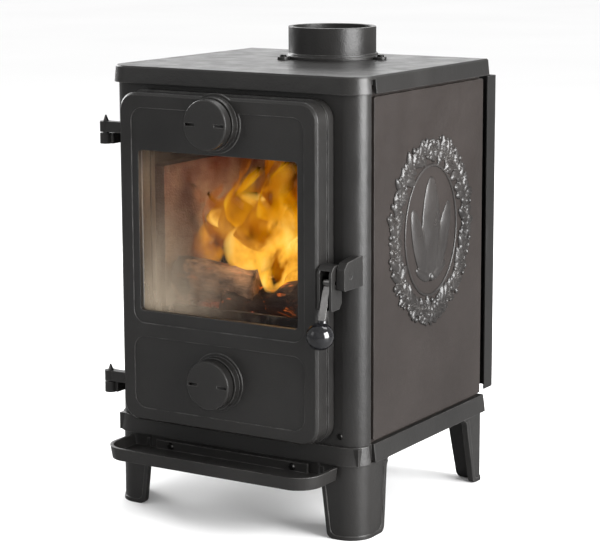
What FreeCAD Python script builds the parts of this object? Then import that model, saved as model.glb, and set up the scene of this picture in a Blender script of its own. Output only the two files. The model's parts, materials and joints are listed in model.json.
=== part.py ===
import FreeCAD
import Part
import math
import os

# Small cast-iron wood burning stove on four legs, in millimetres.
# +Z is up, -Y is the front with the door, +X is the latch side.
# The origin is on the floor, under the centre of the whole stove.
#
# The body is a base, a front frame, two side panels and a rear plate, held
# between base and top plate by four tie rods.  The door swings on two pins,
# is held shut by a lever that hooks under a keeper pin, and carries the glass
# and two screw-out air dials.  Fire bricks, a baffle, a grate with a turning
# centre disc, a fuel guard and an ash pan are inside.

Vector = FreeCAD.Vector
X_AXIS = Vector(1, 0, 0)
Y_AXIS = Vector(0, 1, 0)
Z_AXIS = Vector(0, 0, 1)

# ---- overall sizes -------------------------------------------------------
BODY_HALF_WIDTH = 190.0     # outer face of the side panels and columns
TOP_Z = 590.0               # upper face of the top plate
BASE_TOP_Z = 121.5          # upper face of the base, where the walls stand
FRAME_FRONT_Y = -151.0      # front face of the front frame
BODY_BACK_Y = 178.0         # rear face of panels and rear plate
COLUMN_DEPTH = 26.0         # front to rear, of the columns beside the frame
COLUMN_END_Y = FRAME_FRONT_Y + COLUMN_DEPTH
COLUMN_WALL = 10.0          # casting behind the face of each column

# ---- top plate and base --------------------------------------------------
TOP_HALF_WIDTH = BODY_HALF_WIDTH + 5.0  # half width of the top plate at its lower rim
TOP_FRONT_Y = FRAME_FRONT_Y - 8.0  # front edge of the top plate
TOP_BACK_Y = BODY_BACK_Y + 13.0  # rear edge of the top plate
TOP_RIM = 22.0              # height of the rim round the top plate
TOP_THICKNESS = 12.0        # plate inside the rim
TOP_CORNER_R = 33.0         # rounded front corners
TOP_FLARE = 2.0             # how far the rim leans outwards, top to bottom
TOP_EDGE = 1.8              # chamfer round the upper face
REAR_CORNER_R = 5.0         # small rear corners of top plate and base

BASE_SKIRT = 23.5           # height of the leaning skirt round the base
BASE_PLATE = 9.5            # thickness of the base plate
BASE_HALF_WIDTH = BODY_HALF_WIDTH + 5.0  # half width of the skirt at its lower edge
BASE_FLARE = 3.0            # how far the skirt leans outwards
BASE_WALL = 6.0             # thickness of the skirt
APRON_DROP = 19.0           # front apron below the skirt, behind the ash lip
APRON_GAP = 2.0             # between apron and front legs
CORNER_SLOT = (COLUMN_END_Y - 6.0, COLUMN_END_Y + 5.0)  # slots in rim and skirt behind each column
CORNER_SLOT_DEPTH = 7.0

# ---- walls ---------------------------------------------------------------
FRAME_THICKNESS = 9.0
COLUMN_R = 26.0             # rounded columns at the front corners
PANEL_FRONT_Y = COLUMN_END_Y + 7.5  # front edge of the raised outer side panel
PANEL_SKIN = 6.0            # raised outer part of the side panel
PANEL_INNER = 6.0           # inner part, which closes the gaps
PANEL_GAP_LOW = 4.5         # dark gap between base and raised panel
PANEL_GAP_HIGH = 4.5        # dark gap between raised panel and top rim
REAR_THICKNESS = 8.0
OPENING_HALF_WIDTH = BODY_HALF_WIDTH - 62.0  # opening in the front frame
OPENING_LOW_Z = BASE_TOP_Z + 12.5
OPENING_HIGH_Z = TOP_Z - 45.0
OPENING_R = 14.0
FRAME_SCREW_INSET = 4.0     # from the column to the frame's screws
FRAME_SCREW_RISE = 13.0     # above the base
FRAME_SCREW_R = 2.5

# ---- fixings -------------------------------------------------------------
SCREW_PLAY = 0.1            # between a small screw and its hole, on the radius
BOLT_PLAY = 0.5             # the same for bolts and tie rods
SMALL_SCREW_R = 2.5

# ---- legs ----------------------------------------------------------------
LEG_INSET = 4.0             # legs stand inside the skirt's lower edge
LEG_WALL = 7.0
LEG_FRONT_R = 30.0
LEG_REAR_R = 9.0
LEG_FRONT_WIDTH = (59.0, 47.0)   # front face of a front leg, top and foot
LEG_SIDE_DEPTH = (66.0, 60.0)    # side face of a front leg, top and foot
LEG_REAR_WIDTH = (52.0, 36.0)    # rear legs are slimmer
LEG_REAR_DEPTH = (48.0, 28.0)
LEG_ARCH_R = 16.0           # curve from the leg into the skirt
LEG_TOE_R = 9.0
LEG_BEAD = 1.5              # raised border round each leg
LEG_BEAD_WIDTH = 5.0
LEG_FLANGE = 8.0            # plate at the leg's top, bolted to the base
LEG_BOLT_R = 4.0

# ---- ash lip -------------------------------------------------------------
LIP_HALF_WIDTH = BODY_HALF_WIDTH - 29.0
LIP_FRONT_Y = FRAME_FRONT_Y - 78.0
LIP_Z = BASE_TOP_Z - 42.5
LIP_HEIGHT = 17.0
LIP_WALL = 4.5
LIP_FLOOR = 4.0
LIP_CORNER_R = 34.0
LIP_FLARE = 3.0
LIP_SCREW_X = LIP_HALF_WIDTH - 66.0
LIP_SCREW_R = 2.3
LIP_UPSTAND = 3.5           # plate at the tray's rear, screwed to the apron
LIP_GAP = 0.5               # between tray and base

# ---- door ----------------------------------------------------------------
DOOR_STEP = 23.0            # depth of the front part, before the flange
DOOR_FLANGE_DEPTH = 13.0
DOOR_GAP = 2.0              # between the door flange and the front frame
DOOR_FRONT_Y = FRAME_FRONT_Y - DOOR_GAP - DOOR_FLANGE_DEPTH - DOOR_STEP
DOOR_HALF_WIDTH = OPENING_HALF_WIDTH + 22.0
DOOR_LOW_Z = OPENING_LOW_Z - 7.0
DOOR_HIGH_Z = OPENING_HIGH_Z + 14.5
DOOR_CORNER_R = 24.0
DOOR_FACE = 8.0             # thickness of the door's front wall
DOOR_FLANGE = 2.0           # the flange stands out this far all round
DOOR_WALL = 22.0            # side walls of the door casting
DOOR_EDGE = 3.0             # chamfer round the front face
FIELD_DEPTH = 1.4           # sunken fields above and below
FIELD_HALF_WIDTH = DOOR_HALF_WIDTH - 19.0
FIELD_R = 17.0
GLASS_LOW_Z = DOOR_LOW_Z + 148.0
GLASS_HIGH_Z = DOOR_HIGH_Z - 74.0
UPPER_FIELD_Z = (GLASS_LOW_Z - 16.5, DOOR_HIGH_Z - 19.0)
LOWER_FIELD_Z = (DOOR_LOW_Z + 17.5, GLASS_LOW_Z - 34.5)
GLASS_HALF_WIDTH = FIELD_HALF_WIDTH - 10.0  # opening in the door for the glass
GLASS_OPENING_R = 5.0
GLASS_THICKNESS = 4.0
GLASS_LAP = 9.0             # glass hidden behind the door on every side
GASKET_THICKNESS = 2.0
GASKET_WIDTH = 7.0
CLIP_SIZE = 22.0
SEAL_WIDTH = 9.0            # rope seal on the inner side of the door
SEAL_STANDOFF = 0.5         # between the rope and the front frame
SEAL_INSET = 9.0            # from the flange edge to the rope's channel

# ---- hinges --------------------------------------------------------------
HINGE_X = -(DOOR_HALF_WIDTH + 35.5)
HINGE_Y = FRAME_FRONT_Y - 19.0
KNUCKLE_R = 8.0
KNUCKLE_HEIGHT = 14.0
KNUCKLE_GAP = 1.6
HINGE_PIN_R = 4.0
PIN_CLEARANCE = 0.06
PIN_TIP = 7.0               # tapered tip above the upper knuckle
HINGE_Z = (DOOR_LOW_Z + 42.0, DOOR_HIGH_Z - 56.5)  # gap between the two knuckles of each hinge

# ---- latch ---------------------------------------------------------------
LATCH_X = (DOOR_HALF_WIDTH + 2.2, DOOR_HALF_WIDTH + 23.0)  # housing beside the door's edge
LATCH_FRONT_Y = DOOR_FRONT_Y - 4.0
LATCH_BACK_Y = FRAME_FRONT_Y - 17.0
LATCH_Z = (DOOR_LOW_Z + 177.0, DOOR_LOW_Z + 233.0)
LATCH_CHEEK = 3.5
LATCH_FOOT = 6.0            # solid part above the lever's slot
LEVER_PIVOT = (LATCH_BACK_Y - 13.5, LATCH_Z[0] + 34.0)  # y and z of the lever's pin
LEVER_PIN_R = 3.0
LEVER_WIDTH = 10.0
LEVER_END = (LATCH_FRONT_Y - 10.0, LATCH_Z[0] - 30.0)  # y and z of the knob's centre
LEVER_THICKNESS = (9.0, 5.0)     # at the pivot and at the knob
KNOB_R = 17.5
HOOK_LENGTH = 18.5
HOOK_THICKNESS = 6.0
HOOK_CLEARANCE = 0.6
KEEPER_Y = LATCH_BACK_Y - 0.5
KEEPER_Z = LEVER_PIVOT[1] + 7.0
KEEPER_R = 3.5
CATCH_X = (LATCH_X[1] + 1.6, LATCH_X[1] + 13.0)
CATCH_FRONT_Y = KEEPER_Y - 14.5
CATCH_Z = (KEEPER_Z - 16.0, KEEPER_Z + 19.0)

# ---- air dials -----------------------------------------------------------
DIAL_Z = {"upper": DOOR_HIGH_Z - 33.0, "lower": DOOR_LOW_Z + 66.0}
DIAL_R = 32.0
DIAL_THICKNESS = 12.0
DIAL_GAP = 2.0              # dial to its seat when shut
SEAT_R = DIAL_R + 2.0
SEAT_HEIGHT = 10.0
SEAT_BORE_R = DIAL_R - 7.0
DIAL_HUB_R = 8.5
DIAL_HUB_LENGTH = 10.0      # hub behind the door wall, threaded for the spindle
DIAL_TRAVEL = 12.0
SPINDLE_R = 4.0
SPINDLE_CLEARANCE = 0.05
STOP_R = 7.0                # stop nut on the spindle
WASHER_R = 7.5
AIR_HOLE_R = 4.0
AIR_HOLES = 8
FINGER_SLOT = (15.0, 3.8, 6.0)   # length, height and depth of a finger notch

# ---- flue ----------------------------------------------------------------
FLUE_R = 60.0
FLUE_Y = BODY_BACK_Y - FLUE_R - 21.0
FLUE_WALL = 6.0
FLUE_TOP_Z = TOP_Z + 43.0
FLUE_FLANGE_R = FLUE_R + 7.0
FLUE_FLANGE = 4.0
FLUE_EAR_REACH = FLUE_R + 16.0  # bolt circle of the three ears
FLUE_EAR_R = 8.0
FLUE_SCREW_R = 3.0
FLUE_SHOULDER = 3.0         # step that the flue pipe stands on

# ---- rear shield and outlet ----------------------------------------------
SHIELD_HALF_WIDTH = BODY_HALF_WIDTH - 5.0
SHIELD_BACK_Y = BODY_BACK_Y + 51.0
SHIELD_SHEET = 2.0
SHIELD_FOLD = 27.0
SHIELD_Z = (BASE_TOP_Z + 3.5, TOP_Z - 25.5)
SPACER_R = 8.0
SPACER_X = SHIELD_HALF_WIDTH - 65.0
SPACER_Z = (BASE_TOP_Z + 68.5, TOP_Z - 90.0)
OUTLET_R = 60.0
OUTLET_Z = TOP_Z - 120.0
BLANK_R = OUTLET_R + 16.0
BLANK_THICKNESS = 6.0

# ---- inside --------------------------------------------------------------
BRICK = 25.0                # fire brick thickness
BRICK_GAP = 1.0
GRATE_Z = BASE_TOP_Z + 106.5  # top of the grate
GRATE_THICKNESS = 12.0
GRATE_DISC_R = 72.0
DISC_CLEARANCE = 1.0
DISC_STUD_R = 6.0
BRICK_TOP_Z = TOP_Z - 135.0
BAFFLE_THICKNESS = 10.0
BAFFLE_GAP = 42.0           # smoke passage in front of the baffle
BAFFLE_RISE = 34.0          # slope of the baffle, rear to front
FUEL_GUARD_HEIGHT = 44.0
PAN_HALF_WIDTH = OPENING_HALF_WIDTH - 20.0
PAN_FRONT_Y = FRAME_FRONT_Y + 24.0
PAN_BACK_Y = BODY_BACK_Y - 58.0
PAN_WALL = 2.0
PAN_Z = (BASE_TOP_Z + 16.0, GRATE_Z - 38.0)
PAN_GRIP = 8.0
RUNNER_WIDTH = 14.0
RUNNER_GAP = 0.4
ROD_R = 4.0
ROD_X = BODY_HALF_WIDTH - 24.0
ROD_Y = (COLUMN_END_Y + 25.0, BODY_BACK_Y - 44.0)
ROD_GAP = 2.0               # between the tie rods and the fire lining
NUT_R = 7.5
NUT_HEIGHT = 6.5

# ---- sizes that follow ---------------------------------------------------
TOP_RIM_Z = TOP_Z - TOP_RIM
WALL_TOP_Z = TOP_Z - TOP_THICKNESS
SKIRT_Z = BASE_TOP_Z - BASE_SKIRT
FRAME_BACK_Y = FRAME_FRONT_Y + FRAME_THICKNESS
DOOR_BACK_Y = FRAME_FRONT_Y - DOOR_GAP
FLANGE_FRONT_Y = DOOR_BACK_Y - DOOR_FLANGE_DEPTH
PANEL_INNER_X = BODY_HALF_WIDTH - PANEL_SKIN - PANEL_INNER
REAR_INNER_Y = BODY_BACK_Y - REAR_THICKNESS
SEAT_FRONT_Y = DOOR_FRONT_Y - SEAT_HEIGHT
DIAL_BACK_Y = SEAT_FRONT_Y - DIAL_GAP
DIAL_FRONT_Y = DIAL_BACK_Y - DIAL_THICKNESS
GLASS_FRONT_Y = DOOR_FRONT_Y + DOOR_FACE + GASKET_THICKNESS
GLASS_BACK_Y = GLASS_FRONT_Y + GLASS_THICKNESS
LEVER_X = (LATCH_X[0] + LATCH_CHEEK + 1.2, LATCH_X[1] - LATCH_CHEEK - 1.2)


# ---- helpers -------------------------------------------------------------
def box(x_range, y_range, z_range):
    """Box between three pairs of limits."""
    size = [high - low for low, high in (x_range, y_range, z_range)]
    return Part.makeBox(*size, Vector(x_range[0], y_range[0], z_range[0]))


def rod(radius, start, end):
    """Cylinder from one point to another."""
    direction = Vector(*end) - Vector(*start)
    return Part.makeCylinder(radius, direction.Length, Vector(*start), direction)


def cone(radius_start, radius_end, start, end):
    """Cone frustum from one point to another."""
    direction = Vector(*end) - Vector(*start)
    length = direction.Length
    return Part.makeCone(radius_start, radius_end, length, Vector(*start), direction)


def on_xy(z):
    """Place flat points on a level plane."""
    return lambda u, v: Vector(u, v, z)


def on_xz(y):
    """Place flat points on an upright plane that faces the front."""
    return lambda u, v: Vector(u, y, v)


def on_yz(x):
    """Place flat points on an upright plane that faces the side."""
    return lambda u, v: Vector(x, u, v)


def rounded_wire(points, radii, place):
    """Closed outline through points, each corner rounded by its own radius."""
    edges = []
    stops = []
    count = len(points)
    for index in range(count):
        corner = Vector(*points[index], 0)
        back = (Vector(*points[index - 1], 0) - corner).normalize()
        ahead = (Vector(*points[(index + 1) % count], 0) - corner).normalize()
        radius = radii[index]
        if radius == 0:
            stops.append((corner, None, corner))
            continue
        half = back.getAngle(ahead) / 2
        middle = (back + ahead).normalize()
        reach = radius / math.tan(half)
        crown = corner + middle * (radius / math.sin(half) - radius)
        stops.append((corner + back * reach, crown, corner + ahead * reach))
    for index in range(count):
        start, crown, end = [
            None if p is None else place(p.x, p.y) for p in stops[index]
        ]
        if crown is not None:
            edges.append(Part.Arc(start, crown, end).toShape())
        following = stops[(index + 1) % count][0]
        target = place(following.x, following.y)
        if (target - end).Length > 1e-6:
            edges.append(Part.LineSegment(end, target).toShape())
    return Part.Wire(edges)


def prism(points, radii, place, travel):
    """Solid swept straight from a rounded outline."""
    return Part.Face(rounded_wire(points, radii, place)).extrude(travel)


def rectangle(u_range, v_range):
    """Corners of a rectangle, anticlockwise from the low corner."""
    return [
        (u_range[0], v_range[0]),
        (u_range[1], v_range[0]),
        (u_range[1], v_range[1]),
        (u_range[0], v_range[1]),
    ]


def slab_xz(half_width, z_range, radius, y_range):
    """Upright rounded slab that faces the front."""
    outline = rectangle((-half_width, half_width), z_range)
    travel = Vector(0, y_range[1] - y_range[0], 0)
    return prism(outline, [radius] * 4, on_xz(y_range[0]), travel)


def frame_xz(outer, inner, y_range):
    """Rounded slab with a rounded opening, each given as width, z range, radius."""
    return slab_xz(*outer, y_range).cut(slab_xz(*inner, y_range))


def plan_wire(half_width, y_range, front_r, rear_r, z):
    """Plan outline with its own front and rear corner radii."""
    outline = rectangle((-half_width, half_width), y_range)
    return rounded_wire(outline, [front_r, front_r, rear_r, rear_r], on_xy(z))


def leaning_block(half_width, y_range, z_range, front_r, rear_r, flare):
    """Block whose walls lean outwards by flare, from its top to its bottom."""
    low = plan_wire(half_width, y_range, front_r, rear_r, z_range[0])
    shrunk = (y_range[0] + flare, y_range[1] - flare)
    high_r = (max(front_r - flare, 1.0), max(rear_r - flare, 1.0))
    high = plan_wire(half_width - flare, shrunk, high_r[0], high_r[1], z_range[1])
    return Part.makeLoft([low, high], True, True)


def mirrored(shape):
    """The same piece on the other side of the stove."""
    return shape.mirror(Vector(0, 0, 0), X_AXIS)


def fused(shapes):
    """One solid from pieces that touch or overlap."""
    first, *others = shapes
    return first.fuse(others).removeSplitter()


def hexagon(radius, start, end):
    """Hexagonal prism along X, Y or Z for nuts and bolt heads."""
    direction = Vector(*end) - Vector(*start)
    along = Vector(direction).normalize()
    side = X_AXIS if abs(along.x) < 0.5 else Z_AXIS
    other = along.cross(side)
    corners = [
        Vector(*start)
        + side * (radius * math.cos(turn * math.pi / 3))
        + other * (radius * math.sin(turn * math.pi / 3))
        for turn in range(6)
    ]
    return Part.Face(Part.makePolygon(corners + [corners[0]])).extrude(direction)


def save(name, shape):
    """Write one node to its own STEP file."""
    solids = shape.Solids
    if not solids or not shape.isValid():
        raise ValueError("bad shape for " + name)
    result = solids[0] if len(solids) == 1 else Part.makeCompound(solids)
    result.exportStep("parts/" + name + ".step")
    print(name, len(solids), round(shape.Volume / 1000, 1), "cm3")


# ---- base, legs and ash lip ----------------------------------------------
def corner_slots(z_range, half_width):
    """Slots through the edge, just behind each front column."""
    inner = half_width - CORNER_SLOT_DEPTH
    right = box((inner, half_width + 5), CORNER_SLOT, z_range)
    return right.fuse(mirrored(right))


def base_y_range():
    """Front and rear limits of the skirt at its lower edge."""
    return (TOP_FRONT_Y + 1, TOP_BACK_Y - 1)


def leg_pad(side, row):
    """Pad under the base plate that a leg is bolted to."""
    y_range = base_y_range()
    reach_x = BASE_HALF_WIDTH - BASE_WALL - 2
    x_range = sorted((side * (reach_x - 42), side * reach_x))
    if row == "front":
        pad_y = (y_range[0] + BASE_WALL + 2, y_range[0] + BASE_WALL + 44)
    else:
        pad_y = (y_range[1] - BASE_WALL - 38, y_range[1] - BASE_WALL - 2)
    return box(x_range, pad_y, (SKIRT_Z, BASE_TOP_Z - 1))


def leg_bolt_place(side, row):
    """Plan position of the bolt that holds a leg."""
    pad = leg_pad(side, row).BoundBox
    inset = 15 if row == "front" else 13
    y = pad.YMin + inset + 6 if row == "front" else pad.YMax - inset - 4
    return (side * (BASE_HALF_WIDTH - BASE_WALL - 24), y)


def base_casting():
    """Base plate with its leaning skirt, front apron and leg pads."""
    y_range = base_y_range()
    block = leaning_block(
        BASE_HALF_WIDTH, y_range, (SKIRT_Z, BASE_TOP_Z),
        TOP_CORNER_R, REAR_CORNER_R, BASE_FLARE,
    )
    wall = BASE_WALL + BASE_FLARE
    hollow_y = (y_range[0] + wall, y_range[1] - wall)
    hollow = Part.Face(
        plan_wire(BASE_HALF_WIDTH - wall, hollow_y, TOP_CORNER_R - wall, 2, SKIRT_Z)
    ).extrude(Z_AXIS * (BASE_SKIRT - BASE_PLATE))
    apron_half = BASE_HALF_WIDTH - LEG_INSET - LEG_FRONT_WIDTH[0] - APRON_GAP
    apron = box(
        (-apron_half, apron_half), (y_range[0] + BASE_FLARE, y_range[0] + wall),
        (SKIRT_Z - APRON_DROP, SKIRT_Z + 6),
    )
    shape = fused(
        [block.cut(hollow), apron]
        + [leg_pad(side, row) for side in (-1, 1) for row in ("front", "rear")]
    )
    shape = shape.cut(corner_slots((SKIRT_Z - 1, BASE_TOP_Z + 1), BASE_HALF_WIDTH))
    for side in (-1, 1):
        for row in ("front", "rear"):
            x, y = leg_bolt_place(side, row)
            shape = shape.cut(
                rod(LEG_BOLT_R + BOLT_PLAY, (x, y, SKIRT_Z - 1), (x, y, BASE_TOP_Z - 6))
            )
        for y in ROD_Y:
            low, high = (side * ROD_X, y, SKIRT_Z), (side * ROD_X, y, BASE_TOP_Z + 1)
            shape = shape.cut(rod(ROD_R + BOLT_PLAY, low, high))
        x, z = side * LIP_SCREW_X, lip_screw_z()
        start, end = (x, y_range[0], z), (x, y_range[0] + wall + 6, z)
        shape = shape.cut(rod(LIP_SCREW_R + SCREW_PLAY, start, end))
    return shape


def leg(row):
    """Right-hand cast leg: an angle-shaped shell that tapers to its foot."""
    y_range = base_y_range()
    outer_x = BASE_HALF_WIDTH - LEG_INSET
    if row == "front":
        outer_y = y_range[0] + LEG_INSET
        inward = 1
        widths, depths, corner_r = LEG_FRONT_WIDTH, LEG_SIDE_DEPTH, LEG_FRONT_R
    else:
        outer_y = y_range[1] - LEG_INSET
        inward = -1
        widths, depths, corner_r = LEG_REAR_WIDTH, LEG_REAR_DEPTH, LEG_REAR_R

    def shell(grow, wall):
        """Angle-shaped shell, grown outwards, as a tall prism."""
        reach = max(widths[0], depths[0]) + LEG_ARCH_R + 4
        far_y = outer_y + inward * reach
        out_y = outer_y - inward * grow
        points = [(outer_x - reach, out_y), (outer_x + grow, out_y), (outer_x + grow, far_y),
                  (outer_x - wall, far_y), (outer_x - wall, outer_y + inward * wall),
                  (outer_x - reach, outer_y + inward * wall)]
        radii = [0, corner_r + grow, 0, 0, max(corner_r - wall, 1.0), 0]
        return prism(points, radii, on_xy(0), Z_AXIS * SKIRT_Z)

    def side_view(sizes, edge, direction, place, travel, inset, curve_r):
        """Prism that trims one face of the shell to its tapered outline."""
        arch = 0 if inset else curve_r
        out = 60
        foot = edge + direction * (sizes[1] - inset)
        knee = edge + direction * (sizes[0] - inset)
        points = [(edge - direction * out, inset), (foot, inset), (knee, SKIRT_Z - arch)]
        radii = [0, LEG_TOE_R, 0]
        if arch:
            points += [(knee + direction * arch, SKIRT_Z), (edge - direction * out, SKIRT_Z)]
            radii += [0, 0]
        else:
            points += [(edge - direction * out, SKIRT_Z - arch)]
            radii += [0]
        solid = prism(points, radii, place, travel)
        if arch:
            centre = place(knee + direction * arch, SKIRT_Z - arch)
            along = Vector(travel).normalize()
            curve = Part.makeCylinder(arch, travel.Length, centre, along)
            solid = solid.cut(curve)
        return solid

    def trims(inset):
        """Both trimming prisms, drawn in from the outline by inset."""
        front_arch = 0 if row == "front" else LEG_ARCH_R
        front = side_view(widths, outer_x, -1, on_xz(-400), Y_AXIS * 800, inset, front_arch)
        side = side_view(depths, outer_y, inward, on_yz(-10), X_AXIS * 400, inset, LEG_ARCH_R)
        return front.common(side)

    body = shell(0, LEG_WALL).common(trims(0))
    bead = shell(LEG_BEAD, 0).common(trims(0)).cut(trims(LEG_BEAD_WIDTH))
    bead = bead.common(box((0, 400), (-400, 400), (0, SKIRT_Z - LEG_BEAD_WIDTH)))
    pad = leg_pad(1, row).BoundBox
    flange = box(
        (pad.XMin + 4, outer_x - LEG_WALL / 2),
        sorted((outer_y + inward * LEG_WALL / 2, pad.YMax - 4 if inward > 0 else pad.YMin + 4)),
        (SKIRT_Z - LEG_FLANGE, SKIRT_Z),
    )
    x, y = leg_bolt_place(1, row)
    hole = rod(LEG_BOLT_R + 0.5, (x, y, 0), (x, y, SKIRT_Z + 1))
    outline = prism(
        [(pad.XMin, outer_y), (outer_x, outer_y), (outer_x, outer_y + inward * 60),
         (pad.XMin, outer_y + inward * 60)],
        [0, corner_r, 0, 0], on_xy(0), Z_AXIS * SKIRT_Z,
    )
    return fused([body, bead, flange.common(outline)]).cut(hole)


def leg_bolts():
    """Four bolts, each from below through a leg's flange into the base."""
    bolts = []
    for side in (-1, 1):
        for row in ("front", "rear"):
            x, y = leg_bolt_place(side, row)
            low = SKIRT_Z - LEG_FLANGE
            shank = rod(LEG_BOLT_R, (x, y, low - 1), (x, y, BASE_TOP_Z - 7))
            head = hexagon(7.0, (x, y, low - 6), (x, y, low))
            bolts.append(shank.fuse(head).removeSplitter())
    return Part.makeCompound(bolts)


def lip_screw_z():
    """Height of the screws that hold the ash lip."""
    return LIP_Z + LIP_HEIGHT / 2 + 1


def ash_lip():
    """Shallow tray in front of the base that catches falling ash."""
    back_y = base_y_range()[0] - LIP_GAP
    upper_z = LIP_Z + LIP_HEIGHT

    def tray(shrink, low, flare):
        """Outline that grows upwards, to the rear edge of the lip."""
        far_y = back_y + 80
        bottom = plan_wire(
            LIP_HALF_WIDTH - flare - shrink, (LIP_FRONT_Y + flare + shrink, far_y),
            LIP_CORNER_R - flare - shrink, 1, low,
        )
        top = plan_wire(
            LIP_HALF_WIDTH - shrink, (LIP_FRONT_Y + shrink, far_y),
            LIP_CORNER_R - shrink, 1, upper_z,
        )
        return Part.makeLoft([bottom, top], True, True)

    shell = tray(0, LIP_Z, LIP_FLARE).cut(tray(LIP_WALL, LIP_Z + LIP_FLOOR, LIP_FLARE))
    keep = box((-300, 300), (LIP_FRONT_Y - 1, back_y), (LIP_Z - 1, upper_z + 1))
    half = LIP_SCREW_X + 23
    upstand = box((-half, half), (back_y - LIP_UPSTAND, back_y), (LIP_Z + 1, upper_z - 1))
    shape = fused([shell.common(keep), upstand])
    z = lip_screw_z()
    for x in (-LIP_SCREW_X, LIP_SCREW_X):
        hole = rod(LIP_SCREW_R + BOLT_PLAY, (x, back_y - 5, z), (x, back_y + 1, z))
        shape = shape.cut(hole)
    return shape


def ash_lip_screws():
    """Two screws that hold the lip to the apron."""
    face_y = base_y_range()[0] - LIP_GAP - LIP_UPSTAND
    z = lip_screw_z()
    screws = []
    for x in (-LIP_SCREW_X, LIP_SCREW_X):
        shank = rod(LIP_SCREW_R, (x, face_y - 0.5, z), (x, face_y + 15.5, z))
        head = cone(3.2, 4.8, (x, face_y - 2.8, z), (x, face_y, z))
        screws.append(shank.fuse(head).removeSplitter())
    return Part.makeCompound(screws)


# ---- walls ---------------------------------------------------------------
def front_frame():
    """Front casting with rounded columns, door opening and hinge knuckles."""
    z_range = (BASE_TOP_Z, WALL_TOP_Z)
    height = Z_AXIS * (z_range[1] - z_range[0])
    edge = BODY_HALF_WIDTH
    inner_x = edge - COLUMN_WALL
    points = [
        (-edge, COLUMN_END_Y), (-edge, FRAME_FRONT_Y), (edge, FRAME_FRONT_Y),
        (edge, COLUMN_END_Y), (inner_x, COLUMN_END_Y), (inner_x, FRAME_BACK_Y),
        (-inner_x, FRAME_BACK_Y), (-inner_x, COLUMN_END_Y),
    ]
    lining = COLUMN_R - COLUMN_WALL
    depth = COLUMN_END_Y - FRAME_BACK_Y
    inner_r = min(lining, depth - 1)
    radii = [0, COLUMN_R, COLUMN_R, 0, 0, inner_r, inner_r, 0]
    shell = prism(points, radii, on_xy(z_range[0]), height)
    opening = slab_xz(
        OPENING_HALF_WIDTH, (OPENING_LOW_Z, OPENING_HIGH_Z), OPENING_R,
        (FRAME_FRONT_Y - 1, FRAME_BACK_Y + 1),
    )
    shell = shell.cut(opening)
    pieces = [shell]
    for gap_z in HINGE_Z:
        low = gap_z - KNUCKLE_GAP / 2 - KNUCKLE_HEIGHT
        high = gap_z - KNUCKLE_GAP / 2
        barrel = rod(KNUCKLE_R, (HINGE_X, HINGE_Y, low), (HINGE_X, HINGE_Y, high))
        arm = box((HINGE_X - 3, HINGE_X + 11), (HINGE_Y, COLUMN_END_Y - 18), (low, high))
        pieces.append(barrel.fuse(arm))
    shell = fused(pieces)
    for gap_z in HINGE_Z:
        low = gap_z - KNUCKLE_GAP / 2 - KNUCKLE_HEIGHT - 1
        bore = rod(HINGE_PIN_R, (HINGE_X, HINGE_Y, low), (HINGE_X, HINGE_Y, gap_z + 1))
        shell = shell.cut(bore)
    for x, z in frame_screw_places():
        start, end = (x, FRAME_FRONT_Y - 1, z), (x, FRAME_BACK_Y + 1, z)
        shell = shell.cut(rod(FRAME_SCREW_R + SCREW_PLAY, start, end))
    return shell


def frame_screw_places():
    """One screw near each lower corner of the front frame."""
    x = BODY_HALF_WIDTH - COLUMN_R - FRAME_SCREW_INSET
    return [(side * x, BASE_TOP_Z + FRAME_SCREW_RISE) for side in (-1, 1)]


def frame_screws():
    """Small pan-head screws in the face of the front frame."""
    screws = []
    for x, z in frame_screw_places():
        shank = rod(FRAME_SCREW_R, (x, FRAME_FRONT_Y - 0.5, z), (x, FRAME_BACK_Y + 6, z))
        head = cone(4.2, 3.2, (x, FRAME_FRONT_Y, z), (x, FRAME_FRONT_Y - 1.6, z))
        screws.append(shank.fuse(head).removeSplitter())
    return Part.makeCompound(screws)


def side_panel():
    """Right side wall: raised outer panel on a wider inner plate."""
    inner = box(
        (PANEL_INNER_X, PANEL_INNER_X + PANEL_INNER),
        (COLUMN_END_Y, BODY_BACK_Y), (BASE_TOP_Z, WALL_TOP_Z),
    )
    z_range = (BASE_TOP_Z + PANEL_GAP_LOW, TOP_RIM_Z - PANEL_GAP_HIGH)
    outline = rectangle((PANEL_FRONT_Y, BODY_BACK_Y), z_range)
    raised = prism(outline, [3.0] * 4, on_yz(BODY_HALF_WIDTH - PANEL_SKIN), X_AXIS * PANEL_SKIN)
    return fused([inner, raised])


def rear_plate():
    """Rear wall with the closed-off rear outlet and its screw bosses."""
    shape = box(
        (-PANEL_INNER_X, PANEL_INNER_X), (REAR_INNER_Y, BODY_BACK_Y), (BASE_TOP_Z, WALL_TOP_Z)
    )
    shape = shape.cut(
        rod(OUTLET_R, (0, REAR_INNER_Y - 1, OUTLET_Z), (0, BODY_BACK_Y + 1, OUTLET_Z))
    )
    for x, z in blank_screw_places() + spacer_places():
        start, end = (x, REAR_INNER_Y - 1, z), (x, BODY_BACK_Y + 1, z)
        shape = shape.cut(rod(SMALL_SCREW_R + SCREW_PLAY, start, end))
    return shape


def blank_screw_places():
    """Screws round the plate that closes the rear outlet."""
    reach = (OUTLET_R + BLANK_R) / 2
    turns = [math.radians(45 + 90 * step) for step in range(4)]
    return [(reach * math.cos(t), OUTLET_Z + reach * math.sin(t)) for t in turns]


def rear_blanking_plate():
    """Round cover over the unused rear outlet."""
    back = BODY_BACK_Y + BLANK_THICKNESS
    shape = rod(BLANK_R, (0, BODY_BACK_Y, OUTLET_Z), (0, back, OUTLET_Z))
    spigot = rod(OUTLET_R - 1, (0, BODY_BACK_Y - 5, OUTLET_Z), (0, BODY_BACK_Y, OUTLET_Z))
    shape = fused([shape, spigot])
    for x, z in blank_screw_places():
        start, end = (x, BODY_BACK_Y - 1, z), (x, back + 1, z)
        shape = shape.cut(rod(SMALL_SCREW_R + SCREW_PLAY, start, end))
    return shape


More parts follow.
